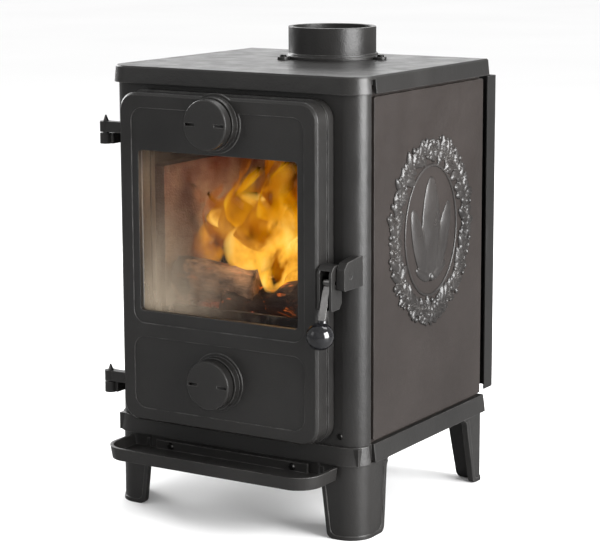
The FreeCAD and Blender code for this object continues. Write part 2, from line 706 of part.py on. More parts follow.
def blanking_screws():
    """Screws of the rear cover."""
    back = BODY_BACK_Y + BLANK_THICKNESS
    screws = []
    for x, z in blank_screw_places():
        shank = rod(SMALL_SCREW_R, (x, REAR_INNER_Y, z), (x, back + 0.5, z))
        screws.append(shank.fuse(hexagon(4.6, (x, back, z), (x, back + 3.5, z))).removeSplitter())
    return Part.makeCompound(screws)


def spacer_places():
    """Positions of the posts that carry the rear heat shield."""
    return [(side * SPACER_X, z) for side in (-1, 1) for z in SPACER_Z]


def heat_shield():
    """Folded steel sheet that stands off the rear wall, with air slots."""
    front_y = SHIELD_BACK_Y - SHIELD_FOLD
    outline = [
        (-SHIELD_HALF_WIDTH, front_y), (-SHIELD_HALF_WIDTH, SHIELD_BACK_Y),
        (SHIELD_HALF_WIDTH, SHIELD_BACK_Y), (SHIELD_HALF_WIDTH, front_y),
        (SHIELD_HALF_WIDTH - SHIELD_SHEET, front_y),
        (SHIELD_HALF_WIDTH - SHIELD_SHEET, SHIELD_BACK_Y - SHIELD_SHEET),
        (SHIELD_SHEET - SHIELD_HALF_WIDTH, SHIELD_BACK_Y - SHIELD_SHEET),
        (SHIELD_SHEET - SHIELD_HALF_WIDTH, front_y),
    ]
    radii = [0, 4.0, 4.0, 0, 0, 2.0, 2.0, 0]
    height = Z_AXIS * (SHIELD_Z[1] - SHIELD_Z[0])
    shape = prism(outline, radii, on_xy(SHIELD_Z[0]), height)
    for x, z in spacer_places():
        shape = shape.cut(rod(2.8, (x, front_y, z), (x, SHIELD_BACK_Y + 1, z)))
    for row in range(4):
        for column in range(-3, 4):
            x = column * 34.0
            z = SHIELD_Z[1] - 60 - row * 18
            slot = prism(
                rectangle((x - 11, x + 11), (z - 2.5, z + 2.5)), [2.4] * 4,
                on_xz(front_y), Y_AXIS * (SHIELD_FOLD + 1),
            )
            shape = shape.cut(slot)
    return shape


def shield_spacers():
    """Posts between the rear wall and the shield."""
    back = SHIELD_BACK_Y - SHIELD_SHEET
    posts = []
    for x, z in spacer_places():
        post = rod(SPACER_R, (x, BODY_BACK_Y, z), (x, back, z))
        start, end = (x, BODY_BACK_Y - 1, z), (x, back + 1, z)
        posts.append(post.cut(rod(SMALL_SCREW_R + SCREW_PLAY, start, end)))
    return Part.makeCompound(posts)


def shield_screws():
    """Screws from the shield through the posts, with nuts inside the rear wall."""
    screws = []
    for x, z in spacer_places():
        shank = rod(SMALL_SCREW_R, (x, REAR_INNER_Y, z), (x, SHIELD_BACK_Y - 0.2, z))
        nut = hexagon(4.6, (x, REAR_INNER_Y - 3.5, z), (x, REAR_INNER_Y, z))
        screws.append(fused([shank, nut]))
    return Part.makeCompound(screws)


# ---- top -----------------------------------------------------------------
def top_plate():
    """Top plate with a rim that hides the upper edge of the walls."""
    rim = leaning_block(
        TOP_HALF_WIDTH, (TOP_FRONT_Y, TOP_BACK_Y), (TOP_RIM_Z, TOP_Z - TOP_EDGE),
        TOP_CORNER_R, REAR_CORNER_R, TOP_FLARE,
    )
    shoulder = leaning_block(
        TOP_HALF_WIDTH - TOP_FLARE, (TOP_FRONT_Y + TOP_FLARE, TOP_BACK_Y - TOP_FLARE),
        (TOP_Z - TOP_EDGE, TOP_Z), TOP_CORNER_R - TOP_FLARE, REAR_CORNER_R - TOP_FLARE,
        TOP_EDGE,
    )
    block = fused([rim, shoulder])
    lip = TOP_HALF_WIDTH - BODY_HALF_WIDTH - 1
    hollow = Part.Face(
        plan_wire(
            TOP_HALF_WIDTH - lip, (TOP_FRONT_Y + lip, TOP_BACK_Y - lip),
            TOP_CORNER_R - lip, 1, TOP_RIM_Z,
        )
    ).extrude(Z_AXIS * (TOP_RIM - TOP_THICKNESS))
    shape = block.cut(hollow)
    shape = shape.cut(corner_slots((TOP_RIM_Z - 1, TOP_Z - 4), TOP_HALF_WIDTH))
    shape = shape.cut(
        rod(FLUE_R - FLUE_WALL, (0, FLUE_Y, TOP_RIM_Z), (0, FLUE_Y, TOP_Z + 1))
    )
    for x, y in flue_screw_places():
        shape = shape.cut(rod(FLUE_SCREW_R + SCREW_PLAY, (x, y, TOP_RIM_Z), (x, y, TOP_Z + 1)))
    for side in (-1, 1):
        for y in ROD_Y:
            low, high = (side * ROD_X, y, TOP_RIM_Z), (side * ROD_X, y, TOP_Z - 4)
            shape = shape.cut(rod(ROD_R + SCREW_PLAY, low, high))
    return shape


def flue_screw_places():
    """Screws in the three ears of the flue collar."""
    turns = [math.radians(120 * step) for step in range(3)]
    return [
        (FLUE_EAR_REACH * math.cos(t), FLUE_Y + FLUE_EAR_REACH * math.sin(t)) for t in turns
    ]


def flue_collar():
    """Round flue spigot on a thin flange with three ears."""
    low = TOP_Z
    flange_z = TOP_Z + FLUE_FLANGE
    pieces = [rod(FLUE_FLANGE_R, (0, FLUE_Y, low), (0, FLUE_Y, flange_z))]
    for x, y in flue_screw_places():
        near_x, near_y = x * 0.8, FLUE_Y + (y - FLUE_Y) * 0.8
        pieces.append(rod(FLUE_EAR_R, (x, y, low), (x, y, flange_z)))
        pieces.append(rod(FLUE_EAR_R, (near_x, near_y, low), (near_x, near_y, flange_z)))
    shoulder_z = flange_z + FLUE_SHOULDER
    pieces.append(cone(FLUE_R + 4, FLUE_R + 2, (0, FLUE_Y, low), (0, FLUE_Y, shoulder_z)))
    pieces.append(rod(FLUE_R, (0, FLUE_Y, low), (0, FLUE_Y, FLUE_TOP_Z)))
    shape = fused(pieces)
    shape = shape.cut(
        rod(FLUE_R - FLUE_WALL, (0, FLUE_Y, low - 1), (0, FLUE_Y, FLUE_TOP_Z + 1))
    )
    for x, y in flue_screw_places():
        start, end = (x, y, low - 1), (x, y, flange_z + 1)
        shape = shape.cut(rod(FLUE_SCREW_R + SCREW_PLAY, start, end))
    return shape


def flue_screws():
    """Screws of the flue collar."""
    screws = []
    for x, y in flue_screw_places():
        top = TOP_Z + FLUE_FLANGE
        shank = rod(FLUE_SCREW_R, (x, y, WALL_TOP_Z - 4), (x, y, top + 0.5))
        head = cone(5.2, 4.0, (x, y, top), (x, y, top + 2.6))
        nut = hexagon(5.5, (x, y, WALL_TOP_Z - 6), (x, y, WALL_TOP_Z))
        screws.append(fused([shank, head, nut]))
    return Part.makeCompound(screws)


def tie_rods():
    """Four rods that clamp the walls between base and top plate."""
    rods = []
    for side in (-1, 1):
        for y in ROD_Y:
            x = side * ROD_X
            rods.append(rod(ROD_R, (x, y, BASE_TOP_Z - BASE_PLATE - 9), (x, y, TOP_Z - 5)))
    return Part.makeCompound(rods)


def tie_rod_nuts():
    """Nuts on the lower ends of the tie rods."""
    nuts = []
    for side in (-1, 1):
        for y in ROD_Y:
            x = side * ROD_X
            high = BASE_TOP_Z - BASE_PLATE
            nut = hexagon(NUT_R, (x, y, high - NUT_HEIGHT), (x, y, high))
            nuts.append(nut.cut(rod(ROD_R + 0.05, (x, y, high - 20), (x, y, high + 1))))
    return Part.makeCompound(nuts)


# ---- inside --------------------------------------------------------------
def firebox():
    """Inner limits of the body behind the columns: x half width and y range."""
    half_width = PANEL_INNER_X - BRICK_GAP
    return half_width, (COLUMN_END_Y + BRICK_GAP, REAR_INNER_Y - BRICK_GAP)


def lining_x():
    """Outer face of the fire lining, just inside the tie rods."""
    return ROD_X - ROD_R - ROD_GAP


def side_brick():
    """Right-hand fire brick, clear of the tie rods."""
    y_range = firebox()[1]
    y_limits = (y_range[0] + 12, y_range[1] - BRICK - BRICK_GAP)
    outline = rectangle(y_limits, (GRATE_Z + BRICK_GAP, BRICK_TOP_Z))
    return prism(outline, [3.0] * 4, on_yz(lining_x() - BRICK), X_AXIS * BRICK)


def rear_brick():
    """Rear fire brick between the side walls."""
    y_range = firebox()[1]
    outline = rectangle((-lining_x(), lining_x()), (GRATE_Z + BRICK_GAP, BRICK_TOP_Z))
    return prism(outline, [3.0] * 4, on_xz(y_range[1] - BRICK), Y_AXIS * BRICK)


def baffle_plate():
    """Sloping plate above the fire that turns the smoke forwards."""
    half = lining_x() - 1
    y_range = firebox()[1]
    low = BRICK_TOP_Z + 1
    points = [
        (y_range[1] - 1, low), (y_range[1] - 1, low + BAFFLE_THICKNESS),
        (y_range[0] + BAFFLE_GAP, low + BAFFLE_THICKNESS + BAFFLE_RISE),
        (y_range[0] + BAFFLE_GAP, low + BAFFLE_RISE),
    ]
    return prism(points, [2.0] * 4, on_yz(-half), X_AXIS * (2 * half))


def ash_shelf():
    """Ledge frame that closes the ash pit and carries grate and bricks."""
    half_width, y_range = firebox()
    z_range = (GRATE_Z - GRATE_THICKNESS - 8, GRATE_Z - GRATE_THICKNESS)
    shelf = box((-half_width, half_width), y_range, z_range)
    pit = box((-PAN_HALF_WIDTH, PAN_HALF_WIDTH), (y_range[0] + 26, PAN_BACK_Y - 6),
              (z_range[0] - 1, z_range[1] + 1))
    shelf = shelf.cut(pit)
    lips = []
    for side in (-1, 1):
        x_range = sorted((side * half_width, side * (half_width - 5)))
        lips.append(box(x_range, (y_range[0] + 10, y_range[1] - 10), (BASE_TOP_Z, z_range[0] + 1)))
    shape = fused([shelf] + lips)
    for side in (-1, 1):
        for y in ROD_Y:
            x = side * ROD_X
            start, end = (x, y, z_range[0] - 1), (x, y, z_range[1] + 1)
            shape = shape.cut(rod(ROD_R + BOLT_PLAY, start, end))
    return shape


def grate_frame():
    """Bottom grate: slotted plate round a loose turning disc."""
    half = lining_x()
    y_range = (firebox()[1][0], firebox()[1][1] - 1)
    z_range = (GRATE_Z - GRATE_THICKNESS, GRATE_Z)
    shape = box((-half, half), y_range, z_range)
    centre_y = (y_range[0] + y_range[1]) / 2
    well = rod(GRATE_DISC_R + DISC_CLEARANCE, (0, centre_y, z_range[0] + 5),
               (0, centre_y, z_range[1] + 1))
    through = rod(GRATE_DISC_R - 8, (0, centre_y, z_range[0] - 1), (0, centre_y, z_range[1] + 1))
    cross = box((-GRATE_DISC_R, GRATE_DISC_R), (centre_y - 9, centre_y + 9),
                (z_range[0], z_range[0] + 4.5))
    shape = fused([shape.cut(well).cut(through), cross])
    shape = shape.cut(rod(DISC_STUD_R + SPINDLE_CLEARANCE, (0, centre_y, z_range[0] - 1),
                          (0, centre_y, z_range[0] + 6)))
    for side in (-1, 1):
        for step in range(9):
            y = centre_y - 104 + step * 26
            slot = prism(
                rectangle((side * 98 - 20, side * 98 + 20), (y - 4, y + 4)), [3.5] * 4,
                on_xy(z_range[0] - 1), Z_AXIS * (GRATE_THICKNESS + 2),
            )
            shape = shape.cut(slot)
    return shape, centre_y


def grate_disc(centre_y):
    """Riddling disc that turns in the grate, with slots and a lug."""
    low = GRATE_Z - GRATE_THICKNESS + 5.4
    shape = rod(GRATE_DISC_R, (0, centre_y, low), (0, centre_y, GRATE_Z))
    stud = rod(DISC_STUD_R, (0, centre_y, GRATE_Z - GRATE_THICKNESS - 3), (0, centre_y, low + 1))
    lug = prism([(-9, centre_y - 62), (9, centre_y - 62), (5, centre_y - 44), (-5, centre_y - 44)],
                [2.0] * 4, on_xy(low + 1), Z_AXIS * 14)
    shape = fused([shape, stud, lug])
    for step in range(-4, 5):
        if step == 0:
            continue
        y = centre_y + step * 13
        reach = math.sqrt((GRATE_DISC_R - 9) ** 2 - (step * 13) ** 2)
        for side in (-1, 1):
            x_range = sorted((side * 12, side * max(reach, 18)))
            slot = prism(rectangle(x_range, (y - 3.5, y + 3.5)), [3.0] * 4,
                         on_xy(low - 1), Z_AXIS * 30)
            shape = shape.cut(slot)
    return shape


def fuel_guard():
    """Low cast guard that keeps logs off the glass."""
    half = lining_x() - 4
    y = firebox()[1][0] + 2
    z_range = (GRATE_Z + 0.5, GRATE_Z + FUEL_GUARD_HEIGHT)
    outline = [(-half, z_range[0]), (half, z_range[0]), (half, z_range[1] - 14),
               (half - 40, z_range[1]), (40 - half, z_range[1]), (-half, z_range[1] - 14)]
    shape = prism(outline, [1.0, 1.0, 4.0, 20.0, 20.0, 4.0], on_xz(y), Y_AXIS * 7)
    for step in range(-3, 4):
        x = step * 32.0
        slot = prism(rectangle((x - 9, x + 9), (z_range[0] + 10, z_range[1] - 13)), [4.0] * 4,
                     on_xz(y - 1), Y_AXIS * 9)
        shape = shape.cut(slot)
    return shape


def pan_runners():
    """Two rails that guide the ash pan."""
    runners = []
    top = PAN_Z[0] - RUNNER_GAP
    for side in (-1, 1):
        inner = side * (PAN_HALF_WIDTH - RUNNER_WIDTH)
        outer = side * (PAN_HALF_WIDTH + 6)
        edge = side * (PAN_HALF_WIDTH + 1.5)
        y_range = (FRAME_BACK_Y + 2, REAR_INNER_Y - 20)
        rail = box(sorted((inner, outer)), y_range, (BASE_TOP_Z, top))
        fence = box(sorted((edge, outer)), y_range, (BASE_TOP_Z, top + 8))
        runners.append(fused([rail, fence]))
    return Part.makeCompound(runners)


def ash_pan():
    """Folded sheet pan with leaning front grip."""
    half = PAN_HALF_WIDTH
    outer = prism(
        rectangle((-half, half), (PAN_FRONT_Y, PAN_BACK_Y)), [6.0] * 4,
        on_xy(PAN_Z[0]), Z_AXIS * (PAN_Z[1] - PAN_Z[0]),
    )
    inner = prism(
        rectangle((PAN_WALL - half, half - PAN_WALL), (PAN_FRONT_Y + PAN_WALL, PAN_BACK_Y - PAN_WALL)),
        [6.0 - PAN_WALL] * 4, on_xy(PAN_Z[0] + PAN_WALL), Z_AXIS * PAN_Z[1],
    )
    grip_z = PAN_Z[1] - 12
    grip = box((-32, 32), (PAN_FRONT_Y - PAN_GRIP, PAN_FRONT_Y + 1), (grip_z - 3, grip_z))
    hem = box((-32, 32), (PAN_FRONT_Y - PAN_GRIP, PAN_FRONT_Y - PAN_GRIP + 2.5), (grip_z - 12, grip_z))
    return fused([outer.cut(inner), grip, hem])


# ---- door ----------------------------------------------------------------
def dial_seat(name):
    """Raised ring on the door that an air dial closes against."""
    z = DIAL_Z[name]
    return rod(SEAT_R, (0, DOOR_FRONT_Y + 2, z), (0, SEAT_FRONT_Y, z))


def dial_seat_bore(name):
    """Air space inside the seat, holes through the door and the spindle bore."""
    z = DIAL_Z[name]
    back = DOOR_FRONT_Y + DOOR_FACE
    well = rod(SEAT_BORE_R, (0, SEAT_FRONT_Y - 1, z), (0, DOOR_FRONT_Y + 1, z))
    hub = rod(DIAL_HUB_R, (0, SEAT_FRONT_Y + 2, z), (0, DOOR_FRONT_Y + 2, z))
    cutter = well.cut(hub)
    pieces = [rod(SPINDLE_R + SPINDLE_CLEARANCE, (0, SEAT_FRONT_Y - 2, z), (0, back + 12, z))]
    ring_r = (SEAT_BORE_R + DIAL_HUB_R) / 2
    for step in range(AIR_HOLES):
        turn = 2 * math.pi * (step + 0.5) / AIR_HOLES
        x = ring_r * math.cos(turn)
        hole_z = z + ring_r * math.sin(turn)
        pieces.append(rod(AIR_HOLE_R, (x, DOOR_FRONT_Y - 1, hole_z), (x, back + 1, hole_z)))
    return [cutter] + pieces


def door_casting():
    """Cast door: front wall, deep edge, flange, glass opening and dial seats."""
    z_range = (DOOR_LOW_Z, DOOR_HIGH_Z)

    def outline(shrink, y):
        """Rounded outline of the door at one depth."""
        limits = (z_range[0] + shrink, z_range[1] - shrink)
        corners = rectangle((shrink - DOOR_HALF_WIDTH, DOOR_HALF_WIDTH - shrink), limits)
        return rounded_wire(corners, [DOOR_CORNER_R - shrink] * 4, on_xz(y))

    edge = Part.makeLoft(
        [outline(DOOR_EDGE, DOOR_FRONT_Y), outline(0, DOOR_FRONT_Y + DOOR_EDGE)], True, True
    )
    front = slab_xz(DOOR_HALF_WIDTH, z_range, DOOR_CORNER_R,
                    (DOOR_FRONT_Y + DOOR_EDGE, FLANGE_FRONT_Y + 1))
    grown = (z_range[0] - DOOR_FLANGE, z_range[1] + DOOR_FLANGE)
    flange = slab_xz(DOOR_HALF_WIDTH + DOOR_FLANGE, grown, DOOR_CORNER_R + DOOR_FLANGE,
                     (FLANGE_FRONT_Y, DOOR_BACK_Y))
    shell = fused([edge, front, flange])
    wall_z = (z_range[0] + DOOR_WALL, z_range[1] - DOOR_WALL)
    hollow = slab_xz(DOOR_HALF_WIDTH - DOOR_WALL, wall_z, 10,
                     (DOOR_FRONT_Y + DOOR_FACE, DOOR_BACK_Y + 1))
    shell = shell.cut(hollow)
    hubs = []
    for name, z in DIAL_Z.items():
        hubs.append(dial_seat(name))
        back = DOOR_FRONT_Y + DOOR_FACE
        hubs.append(rod(DIAL_HUB_R, (0, back - 1, z), (0, back + DIAL_HUB_LENGTH, z)))
    fields = []
    for limits in (UPPER_FIELD_Z, LOWER_FIELD_Z):
        field = slab_xz(FIELD_HALF_WIDTH, limits, FIELD_R,
                        (DOOR_FRONT_Y - 1, DOOR_FRONT_Y + FIELD_DEPTH))
        fields.append(field)
    shell = shell.cut(fields)
    for name, z in DIAL_Z.items():
        pad = rod(SEAT_R + 4, (0, DOOR_FRONT_Y, z), (0, DOOR_FRONT_Y + 3, z))
        hubs.append(pad)
    arms = []
    for gap_z in HINGE_Z:
        low = gap_z + KNUCKLE_GAP / 2
        high = low + KNUCKLE_HEIGHT
        barrel = rod(KNUCKLE_R, (HINGE_X, HINGE_Y, low), (HINGE_X, HINGE_Y, high))
        arm = box((HINGE_X, 6 - DOOR_HALF_WIDTH), (HINGE_Y - 6, HINGE_Y + 6), (low, high))
        arms.append(barrel.fuse(arm))
    shell = fused([shell] + hubs + arms)
    glass_hole = slab_xz(GLASS_HALF_WIDTH, (GLASS_LOW_Z, GLASS_HIGH_Z), GLASS_OPENING_R,
                         (DOOR_FRONT_Y - 20, DOOR_BACK_Y + 1))
    cutters = [glass_hole, seal_channel()]
    for name in DIAL_Z:
        cutters += dial_seat_bore(name)
    for gap_z in HINGE_Z:
        cutters.append(rod(HINGE_PIN_R + PIN_CLEARANCE, (HINGE_X, HINGE_Y, gap_z),
                           (HINGE_X, HINGE_Y, gap_z + KNUCKLE_HEIGHT + 2)))
    for x, z in clip_places():
        cutters.append(rod(2.1, (x, DOOR_FRONT_Y + 3, z), (x, DOOR_FRONT_Y + 20, z)))
    for z in latch_screw_heights():
        reach = DOOR_HALF_WIDTH + DOOR_FLANGE + 1
        cutters.append(rod(2.1, (DOOR_HALF_WIDTH - 12, latch_screw_y(), z), (reach, latch_screw_y(), z)))
    return shell.cut(cutters)


def seal_limits():
    """Outer half width and z range of the rope seal."""
    half = DOOR_HALF_WIDTH + DOOR_FLANGE - SEAL_INSET
    return half, (DOOR_LOW_Z - DOOR_FLANGE + SEAL_INSET, DOOR_HIGH_Z + DOOR_FLANGE - SEAL_INSET)


def seal_channel():
    """Groove for the rope in the door's rear flange."""
    half, limits = seal_limits()
    inner = (limits[0] + SEAL_WIDTH + 1, limits[1] - SEAL_WIDTH - 1)
    y_range = (DOOR_BACK_Y - 5, DOOR_BACK_Y + 1)
    return frame_xz((half + 0.5, (limits[0] - 0.5, limits[1] + 0.5), DOOR_CORNER_R - 4),
                    (half - SEAL_WIDTH - 0.5, inner, DOOR_CORNER_R - 13), y_range)


def door_rope_seal():
    """Heat-proof rope, flattened a little, all round the inner side of the door."""
    half, limits = seal_limits()
    inner = (limits[0] + SEAL_WIDTH, limits[1] - SEAL_WIDTH)
    y_range = (DOOR_BACK_Y - 4.8, FRAME_FRONT_Y - SEAL_STANDOFF)
    return frame_xz((half, limits, DOOR_CORNER_R - 5),
                    (half - SEAL_WIDTH, inner, DOOR_CORNER_R - 14), y_range)


def door_glass():
    """Flat heat-proof glass behind the opening."""
    half = GLASS_HALF_WIDTH + GLASS_LAP - 1
    limits = (GLASS_LOW_Z - GLASS_LAP, GLASS_HIGH_Z + GLASS_LAP)
    return slab_xz(half - 1, limits, 4, (GLASS_FRONT_Y, GLASS_BACK_Y))


def glass_gasket():
    """Flat gasket between glass and door."""
    half = GLASS_HALF_WIDTH + GLASS_LAP - 2
    limits = (GLASS_LOW_Z - GLASS_LAP, GLASS_HIGH_Z + GLASS_LAP)
    inner = (limits[0] + GASKET_WIDTH, limits[1] - GASKET_WIDTH)
    return frame_xz((half, limits, 4), (half - GASKET_WIDTH, inner, 3),
                    (DOOR_FRONT_Y + DOOR_FACE, GLASS_FRONT_Y))


def clip_places():
    """Screws of the glass clips, above and below the glass."""
    low = GLASS_LOW_Z - GLASS_LAP - 7
    high = GLASS_HIGH_Z + GLASS_LAP + 7
    return [(side * 85.0, z) for side in (-1, 1) for z in (low, high)]


def glass_clips():
    """Four bent clips that press the glass against the door."""
    clips = []
    for x, z in clip_places():
        inward = 1 if z < GLASS_HIGH_Z - 50 else -1
        back = DOOR_FRONT_Y + DOOR_FACE
        tail = z - inward * 5
        bend = z + inward * 5.4
        tip = z + inward * 14
        foot = box((x - CLIP_SIZE / 2, x + CLIP_SIZE / 2), (back, GLASS_BACK_Y + 2),
                   sorted((tail, bend)))
        tongue = box((x - CLIP_SIZE / 2, x + CLIP_SIZE / 2), (GLASS_BACK_Y, GLASS_BACK_Y + 2),
                     sorted((tail, tip)))
        hole = rod(2.3, (x, back - 1, z), (x, GLASS_BACK_Y + 3, z))
        clips.append(fused([foot, tongue]).cut(hole))
    return Part.makeCompound(clips)


def glass_clip_screws():
    """Screws of the glass clips."""
    screws = []
    for x, z in clip_places():
        back = GLASS_BACK_Y + 2
        shank = rod(2.0, (x, DOOR_FRONT_Y + 4, z), (x, back + 0.5, z))
        head = cone(4.0, 3.2, (x, back, z), (x, back + 2.4, z))
        screws.append(fused([shank, head]))
    return Part.makeCompound(screws)


def airwash_deflector():
    """Bent plate inside the door that sends the upper air down the glass."""
    z = DIAL_Z["upper"]
    half = DOOR_HALF_WIDTH - DOOR_WALL - 26
    back = DOOR_FRONT_Y + DOOR_FACE
    y_out = back + DIAL_HUB_LENGTH + 5
    low = GLASS_HIGH_Z + GLASS_LAP + 17
    high = DOOR_HIGH_Z - DOOR_WALL - 3
    outline = [(-half, back), (-half, y_out), (half, y_out), (half, back), (half - 2, back),
               (half - 2, y_out - 2), (2 - half, y_out - 2), (2 - half, back)]
    shape = prism(outline, [0, 2.5, 2.5, 0, 0, 0.5, 0.5, 0], on_xy(low), Z_AXIS * (high - low))
    notch = box((-STOP_R - 3, STOP_R + 3), (y_out - 3, y_out + 1), (z - STOP_R - 3, high + 1))
    return shape.cut(notch)


# ---- latch ---------------------------------------------------------------
def latch_screw_heights():
    """Screws that hold the latch housing to the door's edge."""
    return [LATCH_Z[0] + 12, LATCH_Z[1] - 8]


def latch_screw_y():
    """Depth of the housing screws, inside the front part of the door."""
    return (DOOR_FRONT_Y + FLANGE_FRONT_Y) / 2 + 2


def latch_housing():
    """Forked housing beside the door, open to the front, rear and below."""
    points = [
        (LATCH_BACK_Y, LATCH_Z[0] + 7), (LATCH_BACK_Y, LATCH_Z[1]),
        (LATCH_FRONT_Y + 7, LATCH_Z[1]), (LATCH_FRONT_Y, LATCH_Z[1] - 9),
        (LATCH_FRONT_Y, LATCH_Z[0]), (LATCH_BACK_Y - 6, LATCH_Z[0]),
    ]
    radii = [3.0, 3.0, 5.0, 5.0, 2.0, 4.0]
    x_low = LATCH_X[0]
    body = prism(points, radii, on_yz(x_low), X_AXIS * (LATCH_X[1] - x_low))
    root = box((DOOR_HALF_WIDTH, x_low + 1), (LATCH_FRONT_Y + 6, FLANGE_FRONT_Y - 0.5),
               (LATCH_Z[0] + 4, LATCH_Z[1] - 4))
    body = fused([body, root])
    slot_x = (LATCH_X[0] + LATCH_CHEEK, LATCH_X[1] - LATCH_CHEEK)
    slot = box(slot_x, (LATCH_FRONT_Y - 1, LATCH_BACK_Y + 1),
               (LATCH_Z[0] - 1, LATCH_Z[1] - LATCH_FOOT))
    body = body.cut(slot)
    notch = box((slot_x[1] - 1, LATCH_X[1] + 1), (KEEPER_Y - 6, LATCH_BACK_Y + 1),
                (KEEPER_Z - KEEPER_R - 1.5, KEEPER_Z + KEEPER_R + 1.5))
    body = body.cut(notch)
    y, z = LEVER_PIVOT
    body = body.cut(rod(LEVER_PIN_R, (x_low - 1, y, z), (LATCH_X[1] + 1, y, z)))
    for height in latch_screw_heights():
        screw_y = latch_screw_y()
        body = body.cut(rod(2.3, (DOOR_HALF_WIDTH - 1, screw_y, height),
                            (slot_x[0] + 1, screw_y, height)))
    return body


def latch_screws():
    """Screws through the inner cheek of the housing into the door."""
    screws = []
    for height in latch_screw_heights():
        y = latch_screw_y()
        end = LATCH_X[0] + LATCH_CHEEK
        shank = rod(2.0, (DOOR_HALF_WIDTH - 11, y, height), (end, y, height))
        screws.append(shank)
    return Part.makeCompound(screws)


def lever_pin():
    """Pin on which the latch lever turns."""
    y, z = LEVER_PIVOT
    return rod(LEVER_PIN_R, (LATCH_X[0] + 0.3, y, z), (LATCH_X[1] - 0.4, y, z))


def door_lever():
    """Latch lever: flat tapering arm with a hook tongue that passes under the keeper."""
    y, z = LEVER_PIVOT
    end_y, end_z = LEVER_END
    along = (Vector(0, end_y - y, end_z - z)).normalize()
    across = Vector(0, -along.z, along.y)
    start = Vector(0, y, z)
    end = Vector(0, end_y, end_z) - along * (KNOB_R * 0.55)
    wide, thin = LEVER_THICKNESS[0] / 2, LEVER_THICKNESS[1] / 2
    corners = [start + across * wide, end + across * thin, end - across * thin,
               start - across * wide]
    centre_x = (LEVER_X[0] + LEVER_X[1]) / 2
    place = on_yz(centre_x - LEVER_WIDTH / 2)
    travel = X_AXIS * LEVER_WIDTH
    arm = prism([(p.y, p.z) for p in corners], [0.5, 1.0, 1.0, 0.5], place, travel)
    boss = rod(7.0, (centre_x - LEVER_WIDTH / 2, y, z), (centre_x + LEVER_WIDTH / 2, y, z))
    tongue_top = KEEPER_Z - KEEPER_R - HOOK_CLEARANCE
    tongue_z = (tongue_top - HOOK_THICKNESS, tongue_top)
    tip_y = y + HOOK_LENGTH
    tongue = prism(rectangle((y, tip_y), tongue_z), [0, 2.0, 1.0, 0], place, travel)
    neck = rod(thin, tuple(Vector(centre_x, end.y, end.z) - along * 2),
               tuple(Vector(centre_x, end_y, end_z) - along * (KNOB_R * 0.2)))
    shape = fused([arm, boss, tongue, neck])
    relief = box((0, 400), (y + 2, 0), (tongue_top, 400))
    shape = shape.cut(relief)
    return shape.cut(rod(LEVER_PIN_R + PIN_CLEARANCE, (0, y, z), (400, y, z)))


def lever_knob():
    """Ball knob at the end of the lever."""
    y, z = LEVER_END
    centre_x = (LEVER_X[0] + LEVER_X[1]) / 2
    ball = Part.makeSphere(KNOB_R, Vector(centre_x, y, z))
    pivot_y, pivot_z = LEVER_PIVOT
    along = Vector(0, y - pivot_y, z - pivot_z).normalize()
    mouth = Vector(centre_x, y, z) - along * (KNOB_R * 0.95)
    collar = rod(6.0, tuple(mouth - along * 2.5), tuple(mouth + along * 5))
    ball = fused([ball, collar])
    top = Vector(centre_x, y, z) - along * (KNOB_R + 10)
    bore_end = Vector(centre_x, y, z) - along * (KNOB_R * 0.2)
    return ball.cut(rod(LEVER_THICKNESS[1] / 2 + 0.1, tuple(top), tuple(bore_end))).cut(
        lever_clearance()
    )


def lever_clearance():
    """Space of the flat arm where it enters the knob."""
    y, z = LEVER_PIVOT
    end_y, end_z = LEVER_END
    along = Vector(0, end_y - y, end_z - z).normalize()
    across = Vector(0, -along.z, along.y)
    end = Vector(0, end_y, end_z) - along * (KNOB_R * 0.55 - 0.1)
    start = Vector(0, y, z)
    wide, thin = LEVER_THICKNESS[0] / 2 + 0.1, LEVER_THICKNESS[1] / 2 + 0.1
    corners = [start + across * wide, end + across * thin, end - across * thin,
               start - across * wide]
    centre_x = (LEVER_X[0] + LEVER_X[1]) / 2
    half = LEVER_WIDTH / 2 + 0.1
    return prism([(p.y, p.z) for p in corners], [0] * 4, on_yz(centre_x - half), X_AXIS * (2 * half))


def column_surface(x):
    """Depth of the front frame's outer surface at a given x on the column."""
    centre_x = BODY_HALF_WIDTH - COLUMN_R
    if x <= centre_x:
        return FRAME_FRONT_Y
    return FRAME_FRONT_Y + COLUMN_R - math.sqrt(COLUMN_R ** 2 - (x - centre_x) ** 2)


def catch_block():
    """Block on the latch-side column that carries the keeper pin."""
    inner_y = column_surface(CATCH_X[1]) + 4
    points = [
        (inner_y, CATCH_Z[0]), (inner_y, CATCH_Z[1] + 3), (FRAME_FRONT_Y, CATCH_Z[1] + 3),
        (CATCH_FRONT_Y + 8, CATCH_Z[1]),
        (CATCH_FRONT_Y, CATCH_Z[1] - 8), (CATCH_FRONT_Y, CATCH_Z[0]),
    ]
    radii = [0, 0, 2.0, 4.0, 4.0, 2.0]
    block = prism(points, radii, on_yz(CATCH_X[0]), X_AXIS * (CATCH_X[1] - CATCH_X[0]))
    column = prism(
        [(0, FRAME_FRONT_Y), (BODY_HALF_WIDTH, FRAME_FRONT_Y), (BODY_HALF_WIDTH, 0), (0, 0)],
        [0, COLUMN_R, 0, 0], on_xy(BASE_TOP_Z), Z_AXIS * (CATCH_Z[1] + 30 - BASE_TOP_Z),
    )
    start = (CATCH_X[0] - 1, KEEPER_Y, KEEPER_Z)
    hole = rod(KEEPER_R, start, (CATCH_X[1] + 1, KEEPER_Y, KEEPER_Z))
    return block.cut([column, hole])


def keeper_pin():
    """Pin in the catch block; the lever's tongue passes under its inner end."""
    slot_low = LATCH_X[0] + LATCH_CHEEK
    return rod(KEEPER_R, (slot_low + 2.5, KEEPER_Y, KEEPER_Z), (CATCH_X[1] - 0.3, KEEPER_Y, KEEPER_Z))


